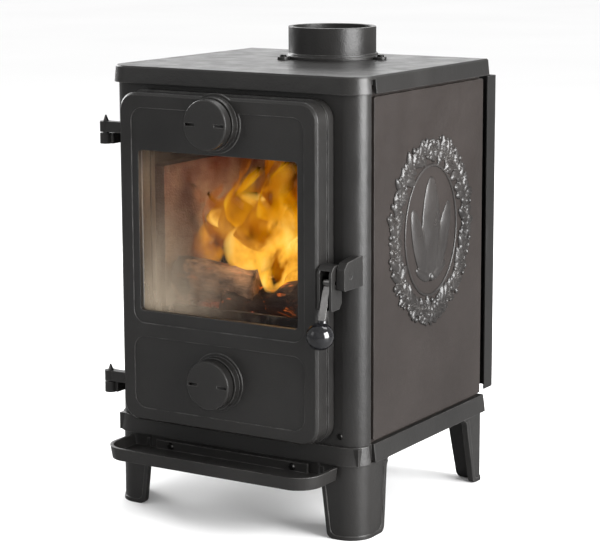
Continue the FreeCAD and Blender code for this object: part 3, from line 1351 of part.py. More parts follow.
def hinge_pins():
    """Two loose hinge pins with tapered tips."""
    pins = []
    for gap_z in HINGE_Z:
        low = gap_z - KNUCKLE_GAP / 2 - KNUCKLE_HEIGHT - 2
        high = gap_z + KNUCKLE_GAP / 2 + KNUCKLE_HEIGHT + 1
        body = rod(HINGE_PIN_R, (HINGE_X, HINGE_Y, low + 2), (HINGE_X, HINGE_Y, high))
        tip = cone(HINGE_PIN_R - 0.4, 1.0, (HINGE_X, HINGE_Y, high), (HINGE_X, HINGE_Y, high + PIN_TIP))
        pins.append(fused([body, tip]))
    return Part.makeCompound(pins)


# ---- air dials -----------------------------------------------------------
def air_dial(name):
    """Screw-out air dial with its spindle, stop collar and finger notches."""
    z = DIAL_Z[name]
    face = rod(DIAL_R - 1.2, (0, DIAL_FRONT_Y, z), (0, DIAL_FRONT_Y + 2, z))
    rim = cone(DIAL_R - 1.2, DIAL_R, (0, DIAL_FRONT_Y, z), (0, DIAL_FRONT_Y + 1.2, z))
    disc = rod(DIAL_R, (0, DIAL_FRONT_Y + 1.2, z), (0, DIAL_BACK_Y, z))
    spindle = rod(SPINDLE_R, (0, DIAL_FRONT_Y + 4, z), (0, stop_limits()[1], z))
    stop = hexagon(STOP_R, (0, stop_limits()[0], z), (0, stop_limits()[1], z))
    shape = fused([face.common(rim), rim, disc, spindle, stop])
    shape = shape.cut(washer_space(name))
    length, height, depth = FINGER_SLOT
    for side in (-1, 1):
        outer = side * (DIAL_R - 2.5)
        inner = side * (DIAL_R - 2.5 - length)
        points = [(inner, DIAL_FRONT_Y - 1), (outer, DIAL_FRONT_Y - 1),
                  (outer, DIAL_FRONT_Y + depth), (inner, DIAL_FRONT_Y + 1)]
        if side < 0:
            points = points[::-1]
        notch = prism(points, [0] * 4, on_xy(z - height / 2), Z_AXIS * height)
        shape = shape.cut(notch)
    return shape


def stop_limits():
    """Depth range of the stop on the spindle's inner end, clear of the hub."""
    hub_back = DOOR_FRONT_Y + DOOR_FACE + DIAL_HUB_LENGTH
    return (hub_back + DIAL_TRAVEL + 0.5, hub_back + DIAL_TRAVEL + 5.5)


def washer_space(name):
    """Recess in the dial's back for its washer."""
    z = DIAL_Z[name]
    ring = rod(WASHER_R + 0.4, (0, DIAL_BACK_Y - 1.5, z), (0, DIAL_BACK_Y + 1, z))
    return ring.cut(rod(SPINDLE_R, (0, DIAL_BACK_Y - 2, z), (0, DIAL_BACK_Y + 2, z)))


def dial_washer(name):
    """Washer that travels with the dial and does not turn."""
    z = DIAL_Z[name]
    ring = rod(WASHER_R, (0, DIAL_BACK_Y - 1.1, z), (0, DIAL_BACK_Y + 0.9, z))
    return ring.cut(
        rod(SPINDLE_R + SPINDLE_CLEARANCE, (0, DIAL_BACK_Y - 3, z), (0, DIAL_BACK_Y + 3, z))
    )


# ---- build ---------------------------------------------------------------
def build():
    """Make every node and write it."""
    save("base_casting", base_casting())
    front_leg, rear_leg = leg("front"), leg("rear")
    save("leg_front_right", front_leg)
    save("leg_front_left", mirrored(front_leg))
    save("leg_rear_right", rear_leg)
    save("leg_rear_left", mirrored(rear_leg))
    save("leg_bolts", leg_bolts())
    save("ash_lip", ash_lip())
    save("ash_lip_screws", ash_lip_screws())
    save("front_frame", front_frame())
    save("frame_screws", frame_screws())
    panel = side_panel()
    save("side_panel_right", panel)
    save("side_panel_left", mirrored(panel))
    save("rear_plate", rear_plate())
    save("rear_blanking_plate", rear_blanking_plate())
    save("blanking_screws", blanking_screws())
    save("heat_shield", heat_shield())
    save("shield_spacers", shield_spacers())
    save("shield_screws", shield_screws())
    save("top_plate", top_plate())
    save("flue_collar", flue_collar())
    save("flue_screws", flue_screws())
    save("tie_rods", tie_rods())
    save("tie_rod_nuts", tie_rod_nuts())
    brick = side_brick()
    save("fire_brick_right", brick)
    save("fire_brick_left", mirrored(brick))
    save("fire_brick_rear", rear_brick())
    save("baffle_plate", baffle_plate())
    save("ash_shelf", ash_shelf())
    grate, centre_y = grate_frame()
    save("grate_frame", grate)
    save("grate_disc", grate_disc(centre_y))
    save("fuel_guard", fuel_guard())
    save("pan_runners", pan_runners())
    save("ash_pan", ash_pan())
    save("door_casting", door_casting())
    save("door_rope_seal", door_rope_seal())
    save("door_glass", door_glass())
    save("glass_gasket", glass_gasket())
    save("glass_clips", glass_clips())
    save("glass_clip_screws", glass_clip_screws())
    save("airwash_deflector", airwash_deflector())
    save("latch_housing", latch_housing())
    save("latch_screws", latch_screws())
    save("lever_pin", lever_pin())
    save("door_lever", door_lever())
    save("lever_knob", lever_knob())
    save("catch_block", catch_block())
    save("keeper_pin", keeper_pin())
    save("hinge_pins", hinge_pins())
    for name in DIAL_Z:
        save(name + "_air_dial", air_dial(name))
        save(name + "_dial_washer", dial_washer(name))


os.makedirs("parts", exist_ok=True)
build()
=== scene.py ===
"""Looks of a small cast-iron wood burning stove, built round its packed design.

The castings, dials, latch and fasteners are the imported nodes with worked-up finishes.
This file adds the side panels' cast ornament, the braided door seal and the fire itself.
"""

import json
import logging
import math
import random
from dataclasses import dataclass, field
from enum import Enum

import bmesh
import bpy
from mathutils import Matrix, Vector, noise

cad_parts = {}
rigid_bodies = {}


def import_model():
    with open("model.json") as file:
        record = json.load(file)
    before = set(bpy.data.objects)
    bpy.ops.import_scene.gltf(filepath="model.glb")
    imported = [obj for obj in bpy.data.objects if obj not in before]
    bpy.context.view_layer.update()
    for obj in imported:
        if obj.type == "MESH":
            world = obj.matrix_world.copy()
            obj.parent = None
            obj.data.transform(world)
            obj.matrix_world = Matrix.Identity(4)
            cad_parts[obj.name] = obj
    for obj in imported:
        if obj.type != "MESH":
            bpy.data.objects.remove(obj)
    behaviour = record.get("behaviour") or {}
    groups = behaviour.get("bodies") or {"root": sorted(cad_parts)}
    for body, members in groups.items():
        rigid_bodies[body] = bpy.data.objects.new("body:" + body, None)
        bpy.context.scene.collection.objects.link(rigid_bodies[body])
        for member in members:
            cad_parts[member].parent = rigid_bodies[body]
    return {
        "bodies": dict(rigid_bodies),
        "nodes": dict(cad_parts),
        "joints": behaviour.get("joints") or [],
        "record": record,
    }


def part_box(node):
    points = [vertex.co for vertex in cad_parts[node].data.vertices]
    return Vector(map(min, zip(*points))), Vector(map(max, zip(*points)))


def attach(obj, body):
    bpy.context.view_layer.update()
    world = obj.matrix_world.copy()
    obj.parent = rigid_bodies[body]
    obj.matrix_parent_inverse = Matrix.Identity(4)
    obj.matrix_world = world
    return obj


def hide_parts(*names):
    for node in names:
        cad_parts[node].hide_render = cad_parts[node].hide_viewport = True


Colour = tuple[float, float, float]
MM = 0.001
LOG = logging.getLogger("stove")


class Side(Enum):
    """The two side walls of the stove."""

    RIGHT = 1
    LEFT = -1


# ---- shader helpers --------------------------------------------------------
class Graph:
    """One material and the few moves that its shader nodes need."""

    def __init__(self, name: str) -> None:
        """Start a material with its main shader.

        Args:
            name: Name of the material.
        """
        self.material = bpy.data.materials.new(name)
        self.material.use_nodes = True
        self.tree = self.material.node_tree
        self.shader = self.tree.nodes["Principled BSDF"]

    def node(self, kind: str, **sockets: object) -> bpy.types.ShaderNode:
        """Add a node and fill its sockets.

        Args:
            kind: Blender's name for the node, after "ShaderNode".
            sockets: Values or other nodes' outputs, by socket name with _ for a space.

        Returns:
            The new node.
        """
        made = self.tree.nodes.new("ShaderNode" + kind)
        for name, value in sockets.items():
            self.set(made, name.replace("_", " "), value)
        return made

    def set(self, node: bpy.types.ShaderNode, name: str, value: object) -> None:
        """Link or set one socket.

        Args:
            node: Node that holds the socket.
            name: The socket's name.
            value: A plain value, or the output socket that feeds it.
        """
        socket = node.inputs[name]
        if isinstance(value, bpy.types.NodeSocket):
            self.tree.links.new(value, socket)
        else:
            socket.default_value = value

    def place(self) -> bpy.types.NodeSocket:
        """Object coordinates, in metres."""
        return self.node("TexCoord").outputs["Object"]

    def stretched(self, scale: tuple[float, float, float]) -> bpy.types.NodeSocket:
        """Object coordinates, scaled along each axis."""
        return self.node("Mapping", Vector=self.place(), Scale=scale).outputs["Vector"]

    def grain(self, scale: float, detail: float = 3.0, rough: float = 0.55,
              where: bpy.types.NodeSocket | None = None) -> bpy.types.NodeSocket:
        """Soft random pattern between 0 and 1.

        Args:
            scale: Patches per metre.
            detail: Layers of finer grain.
            rough: Strength of the finer layers.
            where: Coordinates to use in place of the object's own.

        Returns:
            The pattern's value.
        """
        found = self.node("TexNoise", Vector=where or self.place(), Scale=scale,
                          Detail=detail, Roughness=rough)
        return found.outputs["Fac"]

    def remap(self, value: bpy.types.NodeSocket, low: float, high: float,
              to_low: float, to_high: float) -> bpy.types.NodeSocket:
        """Map a range to another, held at its ends."""
        sockets = {"Value": value, "From_Min": low, "From_Max": high,
                   "To_Min": to_low, "To_Max": to_high}
        return self.node("MapRange", **sockets).outputs["Result"]

    def ramp(self, value: bpy.types.NodeSocket,
             stops: list[tuple[float, Colour]]) -> bpy.types.NodeSocket:
        """Colours along a value.

        Args:
            value: Value from 0 to 1.
            stops: Position and colour of each stop, in order.

        Returns:
            The colour.
        """
        made = self.node("ValToRGB", Fac=value)
        elements = made.color_ramp.elements
        while len(elements) < len(stops):
            elements.new(0.5)
        for element, (position, colour) in zip(elements, stops):
            element.position = position
            element.color = (*colour, 1.0)
        return made.outputs["Color"]

    def math(self, operation: str, first: object, second: object = 0.0) -> bpy.types.NodeSocket:
        """Arithmetic on two values, held between 0 and 1."""
        made = self.tree.nodes.new("ShaderNodeMath")
        made.operation = operation
        made.use_clamp = True
        for index, value in enumerate((first, second)):
            if isinstance(value, bpy.types.NodeSocket):
                self.tree.links.new(value, made.inputs[index])
            else:
                made.inputs[index].default_value = value
        return made.outputs[0]

    def mix(self, share: object, first: object, second: object) -> bpy.types.NodeSocket:
        """Blend of two colours by a share."""
        made = self.tree.nodes.new("ShaderNodeMix")
        made.data_type = "RGBA"
        for index, value in ((0, share), (6, first), (7, second)):
            if isinstance(value, bpy.types.NodeSocket):
                self.tree.links.new(value, made.inputs[index])
            elif index == 0:
                made.inputs[index].default_value = value
            else:
                made.inputs[index].default_value = (*value, 1.0)
        return made.outputs[2]

    def part(self, axis: str) -> bpy.types.NodeSocket:
        """One axis of the object coordinates."""
        return self.node("SeparateXYZ", Vector=self.place()).outputs[axis]

    def bump(self, height: bpy.types.NodeSocket, depth: float,
             normal: bpy.types.NodeSocket | None = None) -> bpy.types.NodeSocket:
        """Relief from a pattern.

        Args:
            height: The pattern, 0 low and 1 high.
            depth: Height of the relief in metres.
            normal: Surface to add it to.

        Returns:
            The new normal.
        """
        sockets = {"Height": height, "Strength": 1.0, "Distance": depth}
        if normal is not None:
            sockets["Normal"] = normal
        return self.node("Bump", **sockets).outputs["Normal"]

    def soft_edges(self, radius: float) -> bpy.types.NodeSocket:
        """Normal that turns smoothly over every edge."""
        made = self.node("Bevel", Radius=radius)
        made.samples = 6
        return made.outputs["Normal"]

    def edge_mask(self, soft: bpy.types.NodeSocket) -> bpy.types.NodeSocket:
        """Value that rises to 1 along edges, from how far their soft normal turns."""
        flat = self.node("NewGeometry").outputs["Normal"]
        made = self.tree.nodes.new("ShaderNodeVectorMath")
        made.operation = "DOT_PRODUCT"
        self.tree.links.new(soft, made.inputs[0])
        self.tree.links.new(flat, made.inputs[1])
        return self.remap(made.outputs["Value"], 0.75, 0.99, 1.0, 0.0)


# ---- finishes --------------------------------------------------------------
@dataclass(frozen=True)
class StovePaint:
    """Matt stove paint over the grain of a sand casting, rubbed along its edges."""

    name: str
    deep: Colour
    light: Colour
    worn: Colour
    roughness: tuple[float, float] = (0.40, 0.54)
    sand: float = 0.00022
    edge: float = 0.0016
    sheen_scale: float = 6.0
    gloss: float = 0.30

    def material(self) -> bpy.types.Material:
        """Make the material.

        Returns:
            The finished material.
        """
        g = Graph(self.name)
        broad = g.grain(self.sheen_scale, 4.0)
        speckle = g.grain(900.0, 2.0)
        tone = g.math("ADD", g.remap(broad, 0.3, 0.7, 0.0, 0.75),
                      g.remap(speckle, 0.5, 0.75, 0.0, 0.25))
        paint = g.mix(tone, self.deep, self.light)
        soft = g.soft_edges(self.edge)
        rubbed = g.math("MULTIPLY", g.edge_mask(soft),
                        g.remap(g.grain(55.0, 4.0), 0.42, 0.62, 0.15, 0.75))
        g.set(g.shader, "Base Color", g.mix(rubbed, paint, self.worn))
        g.set(g.shader, "Roughness", g.remap(g.grain(32.0, 5.0), 0.3, 0.7, *self.roughness))
        g.set(g.shader, "Specular IOR Level", self.gloss)
        casting = g.bump(g.grain(420.0, 3.0, 0.6), self.sand, soft)
        g.set(g.shader, "Normal", g.bump(g.grain(60.0, 2.0), self.sand * 1.6, casting))
        return g.material


@dataclass(frozen=True)
class SootyIron:
    """Bare iron inside the stove, dulled by heat with pale ash dust on it."""

    name: str
    iron: Colour
    ash: Colour

    def material(self) -> bpy.types.Material:
        """Make the material.

        Returns:
            The finished material.
        """
        g = Graph(self.name)
        dust = g.remap(g.grain(28.0, 6.0, 0.65), 0.48, 0.70, 0.0, 0.8)
        scale = g.grain(240.0, 4.0)
        g.set(g.shader, "Base Color", g.mix(dust, self.iron, self.ash))
        g.set(g.shader, "Roughness", g.remap(scale, 0.2, 0.8, 0.62, 0.9))
        soft = g.soft_edges(0.0012)
        g.set(g.shader, "Normal", g.bump(scale, 0.0004, soft))
        return g.material


@dataclass(frozen=True)
class SheetSteel:
    """Rolled sheet with matt black paint."""

    name: str
    paint: Colour
    scuffed: Colour

    def material(self) -> bpy.types.Material:
        """Make the material.

        Returns:
            The finished material.
        """
        g = Graph(self.name)
        peel = g.grain(520.0, 2.0)
        scuffs = g.remap(g.grain(70.0, 6.0, 0.7, g.stretched((1.0, 1.0, 0.15))),
                         0.60, 0.78, 0.0, 0.5)
        g.set(g.shader, "Base Color", g.mix(scuffs, self.paint, self.scuffed))
        g.set(g.shader, "Roughness", g.remap(g.grain(18.0, 3.0), 0.3, 0.7, 0.38, 0.52))
        soft = g.soft_edges(0.0006)
        g.set(g.shader, "Normal", g.bump(peel, 0.00006, soft))
        return g.material


@dataclass(frozen=True)
class FireBrick:
    """Pressed vermiculite board: flecked, chalky, blackened by smoke higher up."""

    name: str
    clay: Colour
    fleck: Colour
    smoke: Colour
    smoke_from: float
    smoke_to: float

    def material(self) -> bpy.types.Material:
        """Make the material.

        Returns:
            The finished material.
        """
        g = Graph(self.name)
        flakes = g.node("TexVoronoi", Vector=g.place(), Scale=340.0).outputs["Distance"]
        body = g.mix(g.remap(flakes, 0.15, 0.6, 0.0, 1.0), self.fleck, self.clay)
        wander = g.math("ADD", g.remap(g.part("Z"), self.smoke_from, self.smoke_to, 0.0, 1.0),
                        g.remap(g.grain(14.0, 5.0), 0.3, 0.7, -0.35, 0.35))
        g.set(g.shader, "Base Color", g.mix(wander, body, self.smoke))
        g.set(g.shader, "Roughness", 0.95)
        g.set(g.shader, "Specular IOR Level", 0.15)
        g.set(g.shader, "Normal", g.bump(flakes, 0.0006, g.soft_edges(0.0015)))
        return g.material


@dataclass(frozen=True)
class BraidedRope:
    """Dark glass-fibre yarn of the door seal and gaskets."""

    name: str
    yarn: Colour
    fibre: Colour

    def material(self) -> bpy.types.Material:
        """Make the material.

        Returns:
            The finished material.
        """
        g = Graph(self.name)
        fibres = g.grain(1500.0, 3.0, 0.7)
        loose = g.remap(fibres, 0.35, 0.7, 0.0, 1.0)
        g.set(g.shader, "Base Color", g.mix(loose, self.yarn, self.fibre))
        g.set(g.shader, "Roughness", 0.9)
        g.set(g.shader, "Sheen Weight", 0.3)
        g.set(g.shader, "Normal", g.bump(fibres, 0.0003))
        return g.material


@dataclass(frozen=True)
class PolishedSteel:
    """Turned or ground steel with fine tool marks."""

    name: str
    metal: Colour
    stain: Colour
    roughness: float
    marks: tuple[float, float, float] = (1.0, 1.0, 0.05)

    def material(self) -> bpy.types.Material:
        """Make the material.

        Returns:
            The finished material.
        """
        g = Graph(self.name)
        lines = g.grain(900.0, 3.0, 0.6, g.stretched(self.marks))
        blue = g.remap(g.grain(40.0, 3.0), 0.4, 0.7, 0.0, 0.6)
        g.set(g.shader, "Base Color", g.mix(blue, self.metal, self.stain))
        g.set(g.shader, "Metallic", 1.0)
        g.set(g.shader, "Roughness", g.remap(lines, 0.3, 0.7, self.roughness - 0.06,
                                             self.roughness + 0.08))
        g.set(g.shader, "Normal", g.bump(lines, 0.00004, g.soft_edges(0.0009)))
        return g.material


@dataclass(frozen=True)
class GlossBlack:
    """Polished black ball with faint finger marks."""

    name: str
    black: Colour
    smeared: Colour = (0.03, 0.03, 0.03)

    def material(self) -> bpy.types.Material:
        """Make the material.

        Returns:
            The finished material.
        """
        g = Graph(self.name)
        smear = g.grain(60.0, 5.0, 0.7)
        touched = g.remap(smear, 0.5, 0.8, 0.0, 0.4)
        g.set(g.shader, "Base Color", g.mix(touched, self.black, self.smeared))
        g.set(g.shader, "Roughness", g.remap(smear, 0.35, 0.75, 0.06, 0.16))
        g.set(g.shader, "Coat Weight", 0.6)
        g.set(g.shader, "Coat Roughness", 0.04)
        return g.material


@dataclass(frozen=True)
class StoveGlass:
    """Heat-proof glass with a pale warm haze, thickest at the left and bottom: partly the ash film
    of a used stove, partly painted light standing for the fire-lit side wall seen through it.
    """

    name: str
    ash_film_and_glow: Colour
    soot: Colour
    clean: float
    full_haze_alpha: float

    def material(self) -> bpy.types.Material:
        """Make the material.

        Returns:
            The finished material.
        """
        g = Graph(self.name)
        across = g.remap(g.part("X"), -0.125, 0.06, 1.0, 0.0)
        low = g.remap(g.part("Z"), 0.28, 0.42, 1.0, 0.25)
        streaks = g.remap(g.grain(60.0, 5.0, 0.6, g.stretched((1.0, 1.0, 0.25))),
                          0.3, 0.75, 0.6, 1.0)
        # painted light: this haze mask is partly ash film and partly the painted glow of the
        # fire-lit side wall behind the glass
        ash_film_and_glow = g.math("MULTIPLY", g.math("MULTIPLY", across, low), streaks)
        g.set(g.shader, "Base Color", g.mix(ash_film_and_glow, self.soot, self.ash_film_and_glow))
        g.set(g.shader, "Alpha", g.remap(ash_film_and_glow, 0.0, 1.0, self.clean, self.full_haze_alpha))
        g.set(g.shader, "Roughness", g.remap(ash_film_and_glow, 0.0, 1.0, 0.02, 0.12))
        g.set(g.shader, "Specular IOR Level", 0.5)
        return g.material


@dataclass(frozen=True)
class CharredWood:
    """Burning wood: bark and split grain, charred, with glowing cracks."""

    name: str
    wood: Colour
    char: Colour
    along: tuple[float, float, float]
    charring: float
    glow: float
    spark: Colour = (1.0, 0.20, 0.02)

    def material(self) -> bpy.types.Material:
        """Make the material.

        Returns:
            The finished material.
        """
        g = Graph(self.name)
        fibres = g.grain(170.0, 5.0, 0.65, g.stretched(self.along))
        reach = self.charring * 0.5
        burnt = g.remap(g.grain(24.0, 4.0), 0.62 - reach, 0.78 - reach, 0.0, 1.0)
        dark_wood = tuple(channel * 0.45 for channel in self.wood)
        timber = g.mix(g.remap(fibres, 0.3, 0.7, 0.0, 1.0), self.wood, dark_wood)
        g.set(g.shader, "Base Color", g.mix(burnt, timber, self.char))
        g.set(g.shader, "Roughness", 0.92)
        crack = g.remap(g.grain(95.0, 3.0, 0.7, g.stretched(self.along)), 0.60, 0.72, 0.0, 1.0)
        g.set(g.shader, "Emission Color", g.mix(crack, (0.0, 0.0, 0.0), self.spark))
        g.set(g.shader, "Emission Strength", self.glow)
        g.set(g.shader, "Normal", g.bump(fibres, 0.0022))
        return g.material


@dataclass(frozen=True)
class EmberBed:
    """Charcoal lumps with pale ash skins and glowing gaps."""

    name: str
    coal: Colour
    ash: Colour
    glow: float

    def material(self) -> bpy.types.Material:
        """Make the material.

        Returns:
            The finished material.
        """
        g = Graph(self.name)
        crust = g.grain(70.0, 6.0, 0.7)
        ashen = g.remap(crust, 0.40, 0.66, 0.0, 1.0)
        g.set(g.shader, "Base Color", g.mix(ashen, self.coal, self.ash))
        g.set(g.shader, "Roughness", 0.95)
        heat = g.math("MULTIPLY", g.remap(g.grain(30.0, 3.0), 0.46, 0.66, 0.0, 1.0),
                      g.remap(g.part("X"), -0.10, 0.02, 0.05, 1.0))
        stops = [(0.0, (0.0, 0.0, 0.0)), (0.5, (0.6, 0.06, 0.005)), (1.0, (1.0, 0.32, 0.04))]
        g.set(g.shader, "Emission Color", g.ramp(heat, stops))
        g.set(g.shader, "Emission Strength", self.glow)
        g.set(g.shader, "Normal", g.bump(crust, 0.0025))
        return g.material


@dataclass(frozen=True)
class FlameGas:
    """Burning gas, clear at its margins, from pale yellow through amber to red."""

    name: str
    cool: Colour
    warm: Colour
    hot: Colour
    strength: float
    density: float

    def material(self) -> bpy.types.Material:
        """Make the material.

        Returns:
            The finished material.
        """
        g = Graph(self.name)
        body = g.node("Attribute")
        body.attribute_name = "veil"
        heat = g.node("Attribute")
        heat.attribute_name = "heat"
        wisps = g.grain(26.0, 3.0, 0.5, g.stretched((1.0, 1.0, 0.55)))
        torn = g.math("MULTIPLY", body.outputs["Fac"], g.remap(wisps, 0.40, 0.54, 0.0, 1.0))
        warmth = g.math("ADD", heat.outputs["Fac"], g.remap(wisps, 0.35, 0.7, -0.25, 0.25))
        g.set(g.shader, "Base Color", (0.0, 0.0, 0.0, 1.0))
        g.set(g.shader, "Specular IOR Level", 0.0)
        g.set(g.shader, "Roughness", 1.0)
        stops = [(0.0, self.cool), (0.45, self.warm), (1.0, self.hot)]
        g.set(g.shader, "Emission Color", g.ramp(warmth, stops))
        g.set(g.shader, "Emission Strength", self.strength)
        g.set(g.shader, "Alpha", g.math("MULTIPLY", torn, self.density))
        return g.material


# ---- mesh helpers ----------------------------------------------------------
def finished(name: str, work: bmesh.types.BMesh, material: bpy.types.Material,
             smooth: bool = True) -> bpy.types.Object:
    """Turn a working mesh into an object.

    Args:
        name: Name of the piece.
        work: The working mesh, in the stove's frame; it is freed.
        material: Its finish.
        smooth: Whether faces are shaded smooth.

    Returns:
        The new object, at the origin.
    """
    mesh = bpy.data.meshes.new(name)
    for face in work.faces:
        face.smooth = smooth
    work.to_mesh(mesh)
    work.free()
    mesh.materials.append(material)
    made = bpy.data.objects.new(name, mesh)
    bpy.context.scene.collection.objects.link(made)
    return made


def ball(work: bmesh.types.BMesh, across: int, rows: int) -> list[bmesh.types.BMVert]:
    """Add a unit ball to a working mesh, with its poles along X.

    Args:
        work: Mesh to add to.
        across: Faces round it.
        rows: Faces from pole to pole.

    Returns:
        The new vertices.
    """
    turned = Matrix.Rotation(math.pi / 2, 4, "Y")
    return bmesh.ops.create_uvsphere(work, u_segments=across, v_segments=rows,
                                     radius=1.0, matrix=turned)["verts"]


# ---- the side panels' ornament ---------------------------------------------
@dataclass
class PanelOrnament:
    """Shallow cast oval on a side panel: a leafy garland round a plain flame of lobes."""

    side: Side
    panel: str
    material: bpy.types.Material
    rise: float = 26 * MM          # centre above the middle of the panel
    ring: tuple[float, float] = (97 * MM, 106 * MM)
    bead: tuple[float, float] = (70 * MM, 86 * MM)
    stations: int = 38
    leaf: tuple[float, float, float] = (23 * MM, 13 * MM, 4.9 * MM)
    seed: int = 7
    rearward: float = 5 * MM       # centre behind the middle of the panel
    sink: float = 0.2 * MM         # depth of the details' feet in the panel
    embed: float = 0.5 * MM        # depth of a detail's base below its foot
    work: bmesh.types.BMesh = field(default_factory=bmesh.new)

    def lobe(self, centre: tuple[float, float], angle: float, size: tuple[float, float, float],
             teeth: int = 0) -> None:
        """Add one leaf with a ridge and a sunk base.

        Args:
            centre: Place on the panel, rearwards and up from the ornament's centre.
            angle: Direction of its tip, anticlockwise from the rear.
            size: Length, width and height.
            teeth: Lobes along each margin.
        """
        length, width, height = size
        turn = Matrix.Rotation(angle, 2)
        leaf = bmesh.new()
        for vert in ball(leaf, 12, 14 if teeth else 10):
            along, across, up = vert.co.x, vert.co.y, vert.co.z
            spread = 1.0 - 0.15 * along
            if teeth:
                spread *= 1.0 + 0.22 * math.sin(along * math.pi * teeth)
            veins = 0.25 * math.cos(along * 14.0) if teeth else 0.0
            ridge = (1.0 - 0.55 * abs(across)) * (1.0 + veins)
            flat = turn @ Vector((along * length / 2, across * spread * width / 2))
            lift = up * height * ridge if up > 0 else up * self.embed
            vert.co = (lift, flat.x + centre[0], flat.y + centre[1])
        self.join(leaf)

    def berry(self, centre: tuple[float, float], radius: float) -> None:
        """Add one berry."""
        fruit = bmesh.new()
        for vert in ball(fruit, 8, 6):
            vert.co = (max(vert.co.x, -0.1) * radius * 0.9,
                       centre[0] + vert.co.y * radius, centre[1] + vert.co.z * radius)
        self.join(fruit)

    def join(self, detail: bmesh.types.BMesh) -> None:
        """Move a detail into the ornament's mesh.

        Args:
            detail: Mesh of the detail; it is freed.
        """
        mesh = bpy.data.meshes.new("detail")
        detail.to_mesh(mesh)
        detail.free()
        self.work.from_mesh(mesh)
        bpy.data.meshes.remove(mesh)

    def oval(self, radii: tuple[float, float], thick: float, high: float, twist: int = 0,
             steps: int = 120) -> None:
        """Add a raised oval line.

        Args:
            radii: Half width and half height.
            thick: Half width of the line.
            high: Height of the line.
            twist: Number of rope turns, or none for a plain line.
            steps: Faces round the line.
        """
        plain = 4.0    # radius of the ring before it takes the oval's shape
        ring = bmesh.new()
        circle = bmesh.ops.create_circle(ring, segments=8, radius=1.0)["verts"]
        for vert in circle:
            vert.co = (vert.co.y, plain + vert.co.x, 0.0)
        edges = list({edge for vert in circle for edge in vert.link_edges})
        bmesh.ops.spin(ring, geom=circle + edges, cent=(0, 0, 0), axis=(1, 0, 0), dvec=(0, 0, 0),
                       angle=2 * math.pi, steps=steps, use_merge=True)
        for vert in ring.verts:
            turn = math.atan2(vert.co.z, vert.co.y)
            out = math.hypot(vert.co.y, vert.co.z) - plain
            wave = 1.0 + (0.3 * math.sin(turn * twist + out * 2.0) if twist else 0.0)
            up = vert.co.x * high * wave if vert.co.x > 0 else vert.co.x * self.embed
            vert.co = (up, math.cos(turn) * (radii[0] + out * thick),
                       math.sin(turn) * (radii[1] + out * thick))
        self.join(ring)

    def garland(self) -> None:
        """Add the two leafy branches that meet at the top."""
        draw = random.Random(self.seed)
        for step in range(self.stations):
            share = (step + 0.5) / self.stations
            for hand in (1, -1):
                turn = -math.pi / 2 + hand * share * math.pi
                here = (math.cos(turn) * self.ring[0], math.sin(turn) * self.ring[1])
                heading = math.atan2(math.cos(turn) * self.ring[1] * hand,
                                     -math.sin(turn) * self.ring[0] * hand)
                for lean in (0.95, -0.95):
                    wobble = draw.uniform(-0.45, 0.45)
                    angle = heading + (lean + wobble)
                    grow = draw.uniform(0.70, 1.20) * (0.82 if share > 0.9 else 1.0)
                    size = tuple(value * grow for value in self.leaf)
                    reach = size[0] * 0.42
                    centre = (here[0] + math.cos(angle) * reach, here[1] + math.sin(angle) * reach)
                    self.lobe(centre, angle, size, teeth=2 if draw.random() < 0.55 else 0)
                for reach in (-9, 2, 12):
                    away = Vector(here).normalized() * (reach + draw.uniform(-4, 4)) * MM
                    self.berry((here[0] + away.x, here[1] + away.y), draw.uniform(2.6, 4.8) * MM)

    def flame(self) -> None:
        """Add the plain flame in the middle: an upright lobe, two pairs and a berry."""
        self.lobe((0.0, 4 * MM), math.pi / 2, (136 * MM, 54 * MM, 5.4 * MM))
        for hand in (1, -1):
            self.lobe((hand * 33 * MM, -12 * MM), math.pi / 2 - hand * 0.36,
                      (98 * MM, 34 * MM, 4.6 * MM))
            self.lobe((hand * 22 * MM, -56 * MM), math.pi / 2 - hand * 1.15,
                      (42 * MM, 16 * MM, 3.6 * MM))
        self.berry((0.0, -62 * MM), 6.5 * MM)

    def spray(self) -> None:
        """Add the fan of broad leaves and berries at the foot of the garland."""
        low = -self.ring[1]
        for step in range(-4, 5):
            angle = -math.pi / 2 + step * 0.36
            foot = (math.cos(angle) * 24 * MM, low + math.sin(angle) * 9 * MM + 2 * MM)
            self.lobe(foot, angle, (30 * MM, 14 * MM, 5.4 * MM), teeth=2)
        for step in range(-3, 4):
            self.berry((step * 8 * MM, low + abs(step) * 2.5 * MM), (6.0 - abs(step) * 0.6) * MM)

    def build(self) -> bpy.types.Object:
        """Make the ornament on its panel.

        Returns:
            The finished piece.
        """
        self.oval(self.bead, 1.9 * MM, 2.2 * MM)
        self.oval(self.ring, 2.6 * MM, 2.6 * MM, twist=46)
        self.garland()
        self.flame()
        self.spray()
        low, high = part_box(self.panel)
        face = high.x if self.side is Side.RIGHT else -low.x
        middle = Vector((face - self.sink, (low.y + high.y) / 2 + self.rearward,
                         (low.z + high.z) / 2 + self.rise))
        bmesh.ops.translate(self.work, verts=self.work.verts, vec=middle)
        if self.side is Side.LEFT:
            bmesh.ops.scale(self.work, verts=self.work.verts, vec=(-1, 1, 1))
        bmesh.ops.recalc_face_normals(self.work, faces=self.work.faces)
        made = finished("ornament_" + self.side.name.lower(), self.work, self.material)
        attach(made, "root")
        return made


